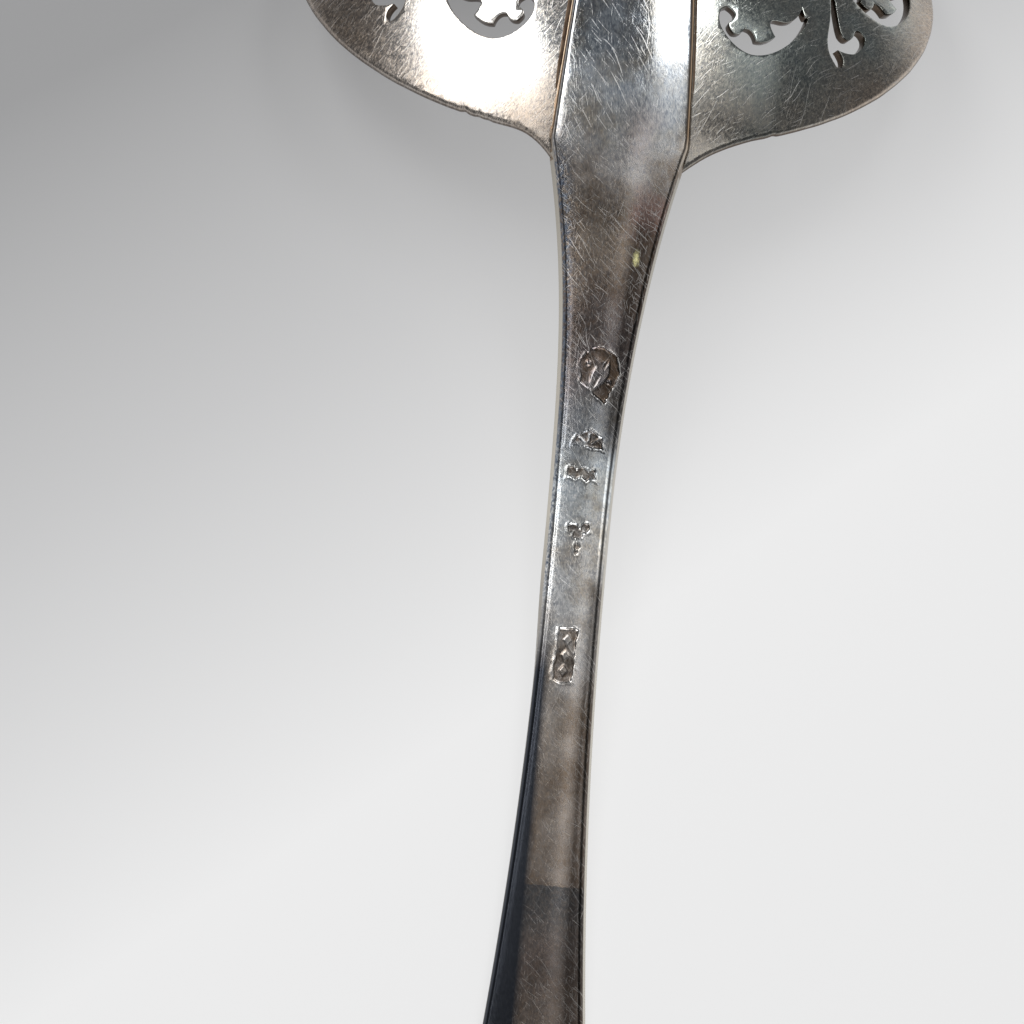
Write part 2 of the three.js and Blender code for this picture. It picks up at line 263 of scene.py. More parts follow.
def layOnGround(piece):
    # from the bowl's frame in millimetres to the spoon's place in metres
    turn = Matrix.Rotation(math.radians(-restSizes["tilt"]), 4, "X")
    place = Matrix.Translation(restSizes["shift"]) @ turn
    for vertex in piece.data.vertices:
        vertex.co = place @ vertex.co
        vertex.co.z = max(vertex.co.z, 0)
    piece.data.transform(Matrix.Scale(0.001, 4))


def smooth(piece, angle):
    selectOnly(piece)
    bpy.ops.object.shade_smooth_by_angle(angle=math.radians(angle))
    even = piece.modifiers.new("even", "WEIGHTED_NORMAL")
    even.keep_sharp = True
    bpy.ops.object.modifier_apply(modifier=even.name)


# The piercings, each a start and runs of one or two handles and an end, drawn about its middle
scrollPath = ((-3.7, 0.2), (
    ((-4.6, -0.1), (-5.0, -1.3), (-4.2, -2.4)),
    ((-3.2, -3.6), (-1.9, -4.1), (-0.8, -4.1)),
    ((1.8, -4.0), (5.2, -0.9), (6.1, 2.6)),
    ((5.7, 2.1), (5.3, 3.4)),
    ((4.6, 0.9), (2.6, 0.7)),
    ((0.6, 0.4), (2.2, -1.3)),
    ((1.0, -2.5), (-0.1, -2.5)),
    ((-0.5, -1.3), (-1.5, -1.6)),
    ((-2.0, -2.6), (-2.9, -2.5)),
    ((-4.0, -1.8), (-3.1, -1.2)),
    ((-2.2, -0.2), (-3.7, 0.2)),
))

flamePath = ((-2.6, 10.8), (
    ((-0.9, 7.0), (-0.9, 3.6), (-1.2, 1.6)),
    ((-1.5, -0.4), (-1.2, -1.2), (-0.4, -1.9)),
    ((0.2, -2.6), (0.7, -1.8)),
    ((1.0, -0.9), (0.0, -0.3)),
    ((1.3, -0.2), (2.2, 0.4)),
    ((3.1, 1.3), (4.2, 3.2), (3.0, 3.5)),
    ((2.1, 3.6), (2.0, 2.4)),
    ((1.3, 1.0), (0.4, 1.8)),
    ((-0.5, 3.4), (-0.2, 7.0), (-2.6, 10.8)),
))


piercings = {
    "spacing": 0.3,
    "paths": (  # path, x, y, turn, whether it is turned over
        ("scroll", 16.0, -19.0, 0, False), ("scroll", -14.5, -20.1, 0, True),
        ("flame", 26.0, -18.0, 0, False), ("flame", -26.2, -17.4, 0, True),
        ("scroll", 31.4, -7.2, 24, False), ("scroll", -31.4, -7.4, -24, True),
        ("scroll", 15.5, 19.4, 180, True), ("scroll", -15.5, 19.4, 180, False),
        ("flame", 25.8, 18.0, 180, True), ("flame", -25.8, 18.0, 180, False),
        ("scroll", 31.4, 7.2, 156, True), ("scroll", -31.4, 7.2, -156, False),
    ),
    "tipFan": (5, 34, 0, 12.6, 3.2, 6.2, 3),  # drops, degrees apart, x, y, hub, length, width
    "sideFan": (6, 60, 15.6, 0, 1.6, 3.8, 2.4),
    "dots": ((0.8, 20, 15.6, 0), (0.9, 22, 23.2, 0), (0.9, 22, 6.4, 27.0)),  # radius, corners, x, y
    "leaf": (5.4, 2.4),  # length, width
    "leaves": ((9.6, 7.6, -38), (10.4, -8.6, -138)),  # x, y, turn
}


def dropPath(length, width):
    return ((0, 0), (
        ((width * 0.3, length * 0.3), (width * 0.8, length), (0, length)),
        ((-width * 0.8, length), (-width * 0.3, length * 0.3), (0, 0)),
    ))


def tracePath(path, spacing):
    start, runs = path
    points = []
    here = Vector(start)
    for run in runs:
        stops = [here] + [Vector(stop) for stop in run]
        around = sum((after - before).length for before, after in zip(stops, stops[1:]))
        steps = max(3, round(around / spacing))
        for step in range(steps):
            line = list(stops)
            while len(line) > 1:
                line = [before.lerp(after, step / steps) for before, after in zip(line, line[1:])]
            points.append(line[0])
        here = stops[-1]
    return points


def traceDot(radius, count):
    turns = [Matrix.Rotation(2 * math.pi * step / count, 2) for step in range(count)]
    return [Vector((radius, 0)) @ turn for turn in turns]


def fan(side, count, step, x, y, hub, length, width):
    # drops round a hub, whose place a side of -1 turns over to the left
    drop = tracePath(dropPath(length, width), piercings["spacing"])
    drops = []
    for index in range(count):
        turn = step * (index - (count - 1) / 2)
        angle = math.radians(turn)
        drops.append((drop, side * x - hub * math.sin(angle), y + hub * math.cos(angle), turn, False))
    return drops


def allPiercings():
    spacing = piercings["spacing"]
    paths = {"scroll": tracePath(scrollPath, spacing), "flame": tracePath(flamePath, spacing)}
    leaf = tracePath(dropPath(*piercings["leaf"]), spacing)
    placed = [(paths[name], *place) for name, *place in piercings["paths"]]
    placed += fan(1, *piercings["tipFan"])
    for side in (1, -1):
        placed += fan(side, *piercings["sideFan"])
        for radius, corners, x, y in piercings["dots"]:
            placed.append((traceDot(radius, corners), side * x, y, 0, False))
        for x, y, turn in piercings["leaves"]:
            placed.append((leaf, side * x, y, side * turn, False))
    outlines = []
    for points, x, y, turn, turnedOver in placed:
        turned = Matrix.Rotation(math.radians(turn), 2)
        flat = [turned @ Vector((-point.x if turnedOver else point.x, point.y)) for point in points]
        outlines.append([(point.x + x, point.y + y) for point in flat])
    return outlines


def makeBowl():
    sheet = bowlSizes["sheet"]
    bowl = cutOut("piercedBowl", wornRim(), -sheet, 0)
    roundBrims(bowl, *bowlSizes["rimRound"])
    cutters = [cutOut("piercing", outline, -2 * sheet, sheet) for outline in allPiercings()]
    selectOnly(cutters[0])
    for cutter in cutters:
        cutter.select_set(True)
    bpy.ops.object.join()
    cutAway(bowl, cutters[0])
    roundBrims(bowl, *bowlSizes["holeRound"])
    cutGrid(bowl, bowlSizes["cell"])
    skin = bowl.data.attributes.new("skin", "FLOAT_VECTOR", "POINT")  # millimetres on the flat sheet
    for index, vertex in enumerate(bowl.data.vertices):
        x, y, height = vertex.co
        skin.data[index].vector = (x, y, height)
        blow = noise.noise(Vector((x, y, 0)) / bowlSizes["hammerBlow"])
        vertex.co = domePoint(x, y, height + bowlSizes["unevenness"] * blow)
    layOnGround(bowl)
    smooth(bowl, bowlSizes["crease"])
    print("bowl:", len(bowl.data.vertices), "vertices")
    return bowl


# The handle is drawn flat first: across, along from the heel (the tongue is negative), and down
def handleCentre(y):
    reach = y + bowlSizes["length"] / 2
    aside, start, full = handleSizes["drift"]
    straight = handleSizes["offset"] + math.tan(math.radians(handleSizes["skew"])) * reach
    return straight - aside * ease(start, full, -reach)


def followStem():
    line = []
    heelSlope = math.atan(4 * bowlSizes["depth"] / bowlSizes["length"])
    endSlope = math.radians(handleSizes["endSlope"])
    heel = tongueBack(0)
    y, z = heel.y, heel.z
    count = 1024
    step = handleSizes["stem"] / count
    for index in range(count + 1):
        slope = endSlope + (heelSlope - endSlope) * (1 - index / count) ** handleSizes["stemBend"]
        if index:
            y, z = y - step * math.cos(slope), z - step * math.sin(slope)
        line.append((y, z, slope))
    return line


def tongueBack(reach):
    y = reach - bowlSizes["length"] / 2
    thickness = blend(*handleSizes["tongueThickness"], reach / handleSizes["tongue"])
    return domePoint(handleCentre(y), y, handleSizes["lift"] + thickness)


def handlePoint(across, along, down, stemLine):
    if along < 0:
        back = tongueBack(-along)
        slope = math.atan(-8 * bowlSizes["depth"] * back.y / bowlSizes["length"] ** 2)
    else:
        place = along / handleSizes["stem"] * (len(stemLine) - 1)
        before = min(int(place), len(stemLine) - 2)
        pairs = zip(stemLine[before], stemLine[before + 1])
        y, z, slope = (blend(low, high, place - before) for low, high in pairs)
        back = Vector((handleCentre(y), y, z))
    return back + Vector((across, down * math.sin(slope), -down * math.cos(slope)))


def handleHalf(along):
    sizes = handleSizes
    if along < 0:
        return blend(sizes["heelWidth"], sizes["tongueTipWidth"], -along / sizes["tongue"]) / 2
    if along < sizes["neck"]:
        taper = (1 - along / sizes["neck"]) ** sizes["heelTaper"]
        return blend(sizes["neckWidth"], sizes["heelWidth"], taper) / 2
    share = (along - sizes["neck"]) / (sizes["stem"] - sizes["neck"])
    return blend(sizes["neckWidth"], sizes["endWidth"], share ** sizes["endTaper"]) / 2


def handleDepth(along):
    sizes = handleSizes
    if along < 0:
        thickness = blend(*sizes["tongueThickness"], -along / sizes["tongue"])
        return sizes["lift"] + thickness + bowlSizes["sheet"]
    if along < sizes["neck"]:
        heel = sizes["lift"] + sizes["tongueThickness"][0] + bowlSizes["sheet"]
        return blend(heel, sizes["neckThickness"], along / sizes["neck"])
    share = (along - sizes["neck"]) / (sizes["stem"] - sizes["neck"])
    return blend(sizes["neckThickness"], sizes["endThickness"], share)


def crownFall(along):
    heel, neck, end = handleSizes["crown"]
    if along < handleSizes["neck"]:
        return blend(heel, neck, ease(0, 1, max(0, along) / handleSizes["neck"]))
    return blend(neck, end, (along - handleSizes["neck"]) / (handleSizes["stem"] - handleSizes["neck"]))


def handleStations():
    # along the handle, and how far round its rounded ends: -90 degrees to 90 degrees
    sizes = handleSizes
    quarter = math.pi / 2
    stations = [(0, -quarter * (1 - step / sizes["roundSteps"])) for step in range(sizes["roundSteps"])]
    first = sizes["tongueRound"] - sizes["tongue"]
    last = sizes["stem"] - sizes["endRound"]
    count = round((last - first) / sizes["step"])
    stations += [(blend(first, last, step / count), 0) for step in range(count + 1)]
    stations += [(0, quarter * (step + 1) / sizes["roundSteps"]) for step in range(sizes["roundSteps"])]
    return stations


def sectionRing(along, turn):
    sizes = handleSizes

    def placed(inset, flare=0):
        # half width and distance of the outline moved in by an inset, its sides flared out
        if turn == 0:
            return handleHalf(along) - inset + flare, along
        start = sizes["tongueRound"] - sizes["tongue"] if turn < 0 else sizes["stem"] - sizes["endRound"]
        length = sizes["tongueRound"] if turn < 0 else sizes["endRound"]
        base = handleHalf(start + length * math.sin(turn))
        return (base - inset + flare) * math.cos(turn), start + (length - inset) * math.sin(turn)

    whole = placed(0)[1]
    depth = handleDepth(whole)
    fall = crownFall(whole)
    wide = handleHalf(whole)
    right = []
    for inset, down in sizes["backEdge"]:
        half, place = placed(inset)
        right.append((half, place, down + fall * (half / wide) ** 2))
    for inset, rise in sizes["frontEdge"]:
        half, place = placed(inset, sizes["flare"])
        right.append((half, place, depth - rise))
    backHalf, backPlace, _ = right[0]
    frontHalf, frontPlace, _ = right[-1]
    ring = []
    for column in range(1, sizes["backColumns"]):
        across = backHalf * (2 * column / sizes["backColumns"] - 1)
        ring.append((across, backPlace, fall * (across / wide) ** 2))
    ring += right
    slim = sizes["flare"] * ease(*sizes["leftPlain"], whole)
    for column in range(1, sizes["frontColumns"]):
        across = blend(frontHalf, slim - frontHalf, column / sizes["frontColumns"])
        ring.append((across, frontPlace, depth))
    for index, (half, place, down) in reversed(list(enumerate(right))):
        aside = slim if index >= len(sizes["backEdge"]) else 0
        ring.append((aside - half, place, down))
    return ring


# Worn marks struck into the stem's back: a leaf, a fan with its foot, a trefoil, a row of lozenges
markSizes = {
    "depth": 0.2,
    "brim": 0.12,
    "ragged": (0.2, 1.7),  # how far the edge strays, and how often
    "burr": 0.22,  # share of the depth thrown up round a mark
    "wear": (0.7, 0.8, 0.7),  # share of the depth left, its swing, and how often
    "wearEnds": (0.1, 1.1),
    "cuts": 5,  # of each face under a mark
    "finer": (0.6, -0.3),  # faces are cut this far round a mark, and above this height
    "reach": (0.55, -0.4),  # corners move this far round it, and above this height
    "leaf": {
        "shoulder": 1.15,
        "foot": 0.35,
        "tilt": 38,
        "blade": (0.95, 2.1),  # half width, half length
        "vein": 0.07,
        "dots": ((-1.05, -1.6, 0.36), (0.9, 0.9, 0.33)),  # across, along, radius
    },
    "fan": {
        "hub": (0.2, -0.9),
        "radius": 1.75,
        "scallops": (3.5, 0.18),  # how many, how deep
        "base": -0.75,
        "rib": 0.16,
        "ribEnds": (0.4, 1.5),  # from the hub
        "foot": (2.3, 1.55, 0.5),  # along, half width, half height
        "footWave": (5, 0.16),
    },
    "trefoil": (  # its lobes, each across, along and radius, and two drops for the stalk
        (-0.68, -0.8, 0.5), (0.68, -0.9, 0.48), (0, -0.2, 0.54), (0.1, 1.3, 0.32), (0.12, 1.9, 0.22),
    ),
    "lozenges": {"places": (-1.7, 0, 1.7), "half": 0.56, "steep": 0.75, "corner": 2},
    "marks": (
        {"shape": "leaf", "along": 26.5, "across": 0.55, "half": (2.1, 3.2), "turn": -14, "stand": 0.8},
        {"shape": "fan", "along": 35.5, "across": -0.15, "half": (1.8, 3.1), "turn": 3, "stand": 0.8},
        {"shape": "trefoil", "along": 44.7, "across": -0.05, "half": (1.4, 2.4), "turn": 4, "stand": 0},
        {"shape": "lozenges", "along": 58.1, "across": -0.15, "half": (0.98, 3), "turn": 3, "stand": 0.6},
    ),
}


# Each gives the distance in from the struck shape's edge, and from the edge of what stands up in it
def leafEdges(x, y, wide, long):
    leaf = markSizes["leaf"]
    top = wide * min(1, leaf["shoulder"] * (long - y) / long)
    edge = min(top - abs(x), y + long - leaf["foot"] * x * x)
    tilt = math.radians(leaf["tilt"])
    u, v = x * math.cos(tilt) + y * math.sin(tilt), y * math.cos(tilt) - x * math.sin(tilt)
    halfWidth, halfLength = leaf["blade"]
    blade = min(halfWidth * (1 - (v / halfLength) ** 2) - abs(u), abs(u) - leaf["vein"])
    return edge, max(blade, *(radius - math.hypot(x - dotX, y - dotY) for dotX, dotY, radius in leaf["dots"]))


def fanEdges(x, y, wide, long):
    fan = markSizes["fan"]
    hubX, hubY = fan["hub"]
    count, scallop = fan["scallops"]
    away = math.hypot(x - hubX, y - hubY)
    swing = abs(math.sin(count * math.atan2(x - hubX, hubY - y)))
    leaves = min(fan["radius"] - scallop * swing - away, fan["base"] - y)
    place, halfWidth, halfHeight = fan["foot"]
    waves, wave = fan["footWave"]
    foot = min(halfHeight - abs(y - place + wave * math.cos(waves * x)), halfWidth - abs(x))
    near, far = fan["ribEnds"]
    return max(leaves, foot), min(fan["rib"] - away * swing / count, away - near, far - away)


def trefoilEdges(x, y, wide, long):
    return max(radius - math.hypot(x - lobeX, y - lobeY) for lobeX, lobeY, radius in markSizes["trefoil"]), -1


def lozengeEdges(x, y, wide, long):
    row = markSizes["lozenges"]
    edge = min(wide - abs(x), wide + row["corner"] - math.hypot(x, y))
    return edge, max(row["half"] - abs(x) - row["steep"] * abs(y - middle) for middle in row["places"])


markEdges = {"leaf": leafEdges, "fan": fanEdges, "trefoil": trefoilEdges, "lozenges": lozengeEdges}


def markFall(x, y, mark):
    # how deep the mark goes at a point
    edges = markEdges[mark["shape"]]
    spot = Vector((x, y, mark["along"]))
    raised = edges(x, y, *mark["half"])[1]
    stray, often = markSizes["ragged"]
    x += stray * noise.noise(spot * often)
    y += stray * noise.noise(spot * often + Vector((7, 3, 0)))
    edge = edges(x, y, *mark["half"])[0]
    brim = markSizes["brim"]
    fall = ease(-brim, brim, edge) - mark["stand"] * ease(-brim, 2 * brim, raised) * ease(0, brim, edge)
    burr = markSizes["burr"] * ease(-4 * brim, -brim, edge) * (1 - ease(-brim, 0, edge))
    left, swing, often = markSizes["wear"]
    least, most = markSizes["wearEnds"]
    worn = left + swing * noise.noise(spot * often)
    return markSizes["depth"] * (fall - burr) * min(most, max(least, worn))


def inMark(across, along, mark, margin):
    away = Vector((across - mark["across"], along - mark["along"]))
    turned = Matrix.Rotation(math.radians(-mark["turn"]), 2) @ away
    near = abs(turned.x) < mark["half"][0] + margin and abs(turned.y) < mark["half"][1] + margin
    return turned if near else None


def isMarked(face):
    middle = face.calc_center_median()
    margin, lowest = markSizes["finer"]
    onBack = middle.z > lowest and face.normal.z > facing["top"]
    return onBack and any(inMark(middle.x, middle.y, mark, margin) for mark in markSizes["marks"])


def strikeMarks(handle):
    # finer faces where a mark lies, then the mark pressed into them
    selectWhere(handle, "FACE", isMarked)
    bpy.ops.mesh.subdivide(number_cuts=markSizes["cuts"])
    bpy.ops.object.mode_set(mode="OBJECT")
    struck = handle.data.attributes.new("struck", "FLOAT", "POINT")  # how deep a mark goes
    margin, lowest = markSizes["reach"]
    for index, vertex in enumerate(handle.data.vertices):
        for mark in markSizes["marks"]:
            local = inMark(vertex.co.x, vertex.co.y, mark, margin) if vertex.co.z > lowest else None
            if local:
                fall = markFall(local.x, local.y, mark)
                struck.data[index].value = fall
                vertex.co.z -= fall


def spreadSkin(handle):
    # the cut's own corners take the place of the nearest corner on the handle's skin
    skin = handle.data.attributes["skin"].data
    known = [index for index, item in enumerate(skin) if Vector(item.vector).length > 0]
    tree = kdtree.KDTree(len(known))
    for index in known:
        tree.insert(handle.data.vertices[index].co, index)
    tree.balance()
    for index, item in enumerate(skin):
        if Vector(item.vector).length == 0:
            item.vector = skin[tree.find(handle.data.vertices[index].co)[1]].vector


def makeHandle():
    rings = [sectionRing(along, turn) for along, turn in handleStations()]
    columns = len(rings[0])
    bpy.ops.object.select_all(action="DESELECT")
    bpy.ops.mesh.primitive_grid_add(x_subdivisions=columns, y_subdivisions=len(rings) - 1, size=2)
    handle = bpy.context.object
    handle.name = "handleWithTongue"
    for index, vertex in enumerate(handle.data.vertices):
        across, along, down = rings[index // (columns + 1)][index % (columns + 1) % columns]
        vertex.co = (across, along, -down)
    editAll(handle)
    bpy.ops.mesh.remove_doubles(threshold=mergeDistance)
    bpy.ops.mesh.normals_make_consistent(inside=False)
    strikeMarks(handle)
    skin = handle.data.attributes.new("skin", "FLOAT_VECTOR", "POINT")  # millimetres on the flat handle
    stemLine = followStem()
    for index, vertex in enumerate(handle.data.vertices):
        across, along, up = vertex.co
        skin.data[index].vector = (across, along, up)
        blow = noise.noise(Vector((across, along, up)) / handleSizes["hammerBlow"])
        vertex.co = handlePoint(across, along, handleSizes["unevenness"] * blow - up, stemLine)
    editAll(handle)
    bpy.ops.mesh.normals_make_consistent(inside=False)
    bpy.ops.object.mode_set(mode="OBJECT")
    seatTop = solderSizes["layer"] + handleSizes["seatRise"]
    seat = cutOut("seat", rimOutline(handleSizes["seatGap"]), -handleSizes["seatDepth"], seatTop)
    cutGrid(seat, handleSizes["seatCell"])
    for vertex in seat.data.vertices:
        vertex.co = domePoint(*vertex.co)
    cutAway(handle, seat)
    spreadSkin(handle)
    layOnGround(handle)
    smooth(handle, handleSizes["crease"])
    print("handle:", len(handle.data.vertices), "vertices")
    return handle


def makeSolder():
    # a thin layer under the tongue, drawn up into a fillet along the tongue's side
    sizes = handleSizes
    reach = solderSizes["reach"]
    start = sizes["tongueRound"] - sizes["tongue"]
    heel = bowlSizes["spur"] - solderSizes["short"]
    half = []  # half width of the seam, and the distance along
    for step in range(solderSizes["sideSteps"] + 1):
        along = blend(heel, start, step / solderSizes["sideSteps"])
        past = blend(reach, -solderSizes["tuck"], ease(*solderSizes["taper"], along))
        half.append((handleHalf(along) + past, along))
    radius = sizes["tongueRound"] + reach
    for step in range(1, solderSizes["tipSteps"]):
        turn = math.pi / 2 * step / solderSizes["tipSteps"]
        base = handleHalf(start - sizes["tongueRound"] * math.sin(turn))
        half.append(((base + reach) * math.cos(turn), start - radius * math.sin(turn)))
    right = [(wide, -along - bowlSizes["length"] / 2) for wide, along in half]
    tip = sizes["tongue"] + reach - bowlSizes["length"] / 2
    outline = [(handleCentre(y) + wide, y) for wide, y in right]
    outline.append((handleCentre(tip), tip))
    outline += [(handleCentre(y) - wide, y) for wide, y in reversed(right)]
    solder = cutOut("solderSeam", outline, solderSizes["base"], solderSizes["foot"])
    selectWhere(solder, "FACE", lambda face: face.normal.z > facing["top"])
    for inset, lift in solderSizes["rise"]:
        bpy.ops.mesh.inset(thickness=inset, use_even_offset=True)
        bpy.ops.transform.translate(value=(0, 0, lift))
    bpy.ops.object.mode_set(mode="OBJECT")
    cutGrid(solder, solderSizes["cell"])
    for vertex in solder.data.vertices:
        vertex.co = domePoint(*vertex.co)
    layOnGround(solder)
    smooth(solder, solderSizes["crease"])
    print("solder:", len(solder.data.vertices), "vertices")
    return solder


# Node helpers
def addNode(tree, kind, **settings):
    node = tree.nodes.new(kind)
    for name, value in settings.items():
        setattr(node, name, value)
    return node


def join(tree, source, target):
    tree.links.new(source, target)


def feed(tree, sockets, values):
    # each socket takes a link, a number or a colour, or stays as it is
    for socket, value in zip(sockets, values):
        if isinstance(value, bpy.types.NodeSocket):
            join(tree, value, socket)
        elif value is not None:
            socket.default_value = (*value, 1) if socket.type == "RGBA" else value


def feedNamed(tree, node, values):
    feed(tree, [node.inputs[name] for name in values], values.values())


def maths(tree, operation, *values, clamp=False):
    node = addNode(tree, "ShaderNodeMath", operation=operation, use_clamp=clamp)
    feed(tree, node.inputs, values)
    return node.outputs[0]


def product(tree, *factors):
    total = factors[0]
    for factor in factors[1:]:
        total = maths(tree, "MULTIPLY", total, factor)
    return total


def inverse(tree, value):
    return maths(tree, "SUBTRACT", 1, value)


def either(tree, first, second):
    return maths(tree, "MAXIMUM", first, second)


def distance(tree, first, second):
    # from the middle, by the two distances along the axes
    squares = [maths(tree, "POWER", side, 2) for side in (first, second)]
    return maths(tree, "SQRT", maths(tree, "ADD", *squares))


def mapRange(tree, value, low, high, toLow=0, toHigh=1):
    node = addNode(tree, "ShaderNodeMapRange", clamp=True)
    feed(tree, node.inputs, (value, low, high, toLow, toHigh))
    return node.outputs["Result"]


def mixColours(tree, share, first, second, kind="MIX"):
    node = addNode(tree, "ShaderNodeMix", data_type="RGBA", blend_type=kind)
    feed(tree, (node.inputs[0], node.inputs[6], node.inputs[7]), (share, first, second))
    return node.outputs[2]


def addNoise(tree, vector, scale, detail, roughness, seed=None):
    node = addNode(tree, "ShaderNodeTexNoise", noise_dimensions="3D" if seed is None else "4D")
    feedNamed(tree, node, {"Vector": vector, "Scale": scale, "Detail": detail, "Roughness": roughness})
    if seed is not None:
        join(tree, seed, node.inputs["W"])
    return node.outputs


def newGroup(name, numbers, results):
    # takes a vector and numbers, and gives numbers
    group = bpy.data.node_groups.new(name, "ShaderNodeTree")
    group.interface.new_socket("Vector", in_out="INPUT", socket_type="NodeSocketVector")
    for label, value in numbers.items():
        socket = group.interface.new_socket(label, in_out="INPUT", socket_type="NodeSocketFloat")
        socket.default_value = value
    for label in results:
        group.interface.new_socket(label, in_out="OUTPUT", socket_type="NodeSocketFloat")
    return group, addNode(group, "NodeGroupInput").outputs, addNode(group, "NodeGroupOutput").inputs


def useGroup(tree, group, **values):
    node = addNode(tree, "ShaderNodeGroup", node_tree=group)
    feedNamed(tree, node, values)
    return node.outputs


def turnedPlace(group, given):
    # the place across and along the lines, whose turn the group is given
    spin = addNode(group, "ShaderNodeVectorRotate", rotation_type="Z_AXIS")
    join(group, given["Vector"], spin.inputs["Vector"])
    join(group, given["Turn"], spin.inputs["Angle"])
    turned = addNode(group, "ShaderNodeSeparateXYZ")
    join(group, spin.outputs[0], turned.inputs[0])
    return turned.outputs["X"], turned.outputs["Y"]


hairline = {
    "slide": 13.7,  # of one column of cells past the next
    "middle": (0.12, 0.76),  # where in its cell a line may lie: from here, within this width
    "half": (0.14, 0.34),  # its least half length as a share of the cell's, and what chance adds
    "fade": 9,
    "faint": 1.1,
}


def makeScratchGroup():
    # straight hairlines, one at most in a cell of a turned grid whose columns slide past one another
    numbers = {"Turn": 0, "Spacing": 0.5, "Length": 3, "Width": 0.05, "Cover": 0.5, "Seed": 0}
    group, given, result = newGroup("hairlineScratches", numbers, ("Lines",))
    seed = given["Seed"]
    turnedX, turnedY = turnedPlace(group, given)
    across = maths(group, "DIVIDE", turnedX, given["Spacing"])
    across = maths(group, "ADD", across, seed)
    column = maths(group, "FLOOR", across)
    slide = addNode(group, "ShaderNodeTexWhiteNoise", noise_dimensions="1D")
    join(group, maths(group, "MULTIPLY_ADD", seed, hairline["slide"], column), slide.inputs["W"])
    along = maths(group, "DIVIDE", turnedY, given["Length"])
    along = maths(group, "ADD", along, slide.outputs["Value"])
    cell = addNode(group, "ShaderNodeCombineXYZ")
    feed(group, cell.inputs, (column, maths(group, "FLOOR", along), seed))
    chance = addNode(group, "ShaderNodeTexWhiteNoise", noise_dimensions="3D")
    join(group, cell.outputs[0], chance.inputs["Vector"])
    dice = addNode(group, "ShaderNodeSeparateColor")
    join(group, chance.outputs["Color"], dice.inputs[0])
    first, second, third = dice.outputs
    side, reach = maths(group, "FRACT", across), maths(group, "FRACT", along)
    middle = maths(group, "MULTIPLY_ADD", maths(group, "SUBTRACT", second, first), reach, first)
    start, width = hairline["middle"]
    middle = maths(group, "MULTIPLY_ADD", middle, width, start)
    away = maths(group, "ABSOLUTE", maths(group, "SUBTRACT", side, middle))
    away = maths(group, "DIVIDE", product(group, away, given["Spacing"]), given["Width"])
    stroke = maths(group, "SUBTRACT", 1, away, clamp=True)
    fromMiddle = maths(group, "ABSOLUTE", maths(group, "SUBTRACT", reach, 0.5))
    least, more = hairline["half"]
    within = maths(group, "SUBTRACT", maths(group, "MULTIPLY_ADD", third, more, least), fromMiddle)
    ends = maths(group, "MULTIPLY", within, hairline["fade"], clamp=True)
    passed = maths(group, "DIVIDE", chance.outputs["Value"], given["Cover"])
    strength = maths(group, "SUBTRACT", 1, passed, clamp=True)
    strength = maths(group, "POWER", strength, hairline["faint"])
    join(group, product(group, stroke, ends, strength), result["Lines"])
    return group


tarnish = {
    "clouds": (6, 0.62),  # detail, roughness
    "level": (-0.4, 0.62),  # over which a cloud rises: share of the cover, and what is added
    "edge": 5,
    "mottle": (2.2, 5, 0.7),  # scale, detail, roughness
    "mottleEnds": (0.3, 0.7),
}


def makeTarnishGroup():
    # cloudy patches with a grainy edge, and a finer mottle
    group, given, result = newGroup(
        "tarnishClouds", {"Patch": 8, "Cover": 0.5, "Seed": 0}, ("Clouds", "Mottle"),
    )
    vector, seed = given["Vector"], given["Seed"]
    clouds = addNoise(group, vector, maths(group, "DIVIDE", 1, given["Patch"]), *tarnish["clouds"], seed)
    low = maths(group, "MULTIPLY_ADD", given["Cover"], *tarnish["level"])
    over = maths(group, "SUBTRACT", clouds[0], low)
    join(group, maths(group, "MULTIPLY", over, tarnish["edge"], clamp=True), result["Clouds"])
    mottle = addNoise(group, vector, *tarnish["mottle"], seed)
    join(group, mapRange(group, mottle[0], *tarnish["mottleEnds"]), result["Mottle"])
    return group


satin = {"noise": (1, 2, 0.6), "ends": (0.3, 0.7)}


def makeSatinGroup():
    # fine streaks one after another and side by side, as a worn polish leaves them
    numbers = {"Turn": 0, "Width": 0.15, "Length": 1, "Seed": 0}
    group, given, result = newGroup("satinStreaks", numbers, ("Streaks",))
    turnedX, turnedY = turnedPlace(group, given)
    squeezedX = maths(group, "DIVIDE", turnedX, given["Width"])
    squeezedY = maths(group, "DIVIDE", turnedY, given["Length"])
    squeezed = addNode(group, "ShaderNodeCombineXYZ")
    feed(group, squeezed.inputs, (squeezedX, squeezedY, given["Seed"]))
    streaks = addNoise(group, squeezed.outputs[0], *satin["noise"])
    join(group, mapRange(group, streaks[0], *satin["ends"]), result["Streaks"])
    return group


scratchGroup = makeScratchGroup()
satinGroup = makeSatinGroup()
tarnishGroup = makeTarnishGroup()


def newMaterial(name, roughness):
    material = bpy.data.materials.new(name)
    material.use_nodes = True
    tree = material.node_tree
    shader = tree.nodes["Principled BSDF"]
    shader.inputs["Metallic"].default_value = 1
    shader.inputs["Roughness"].default_value = roughness
    return material, tree, shader


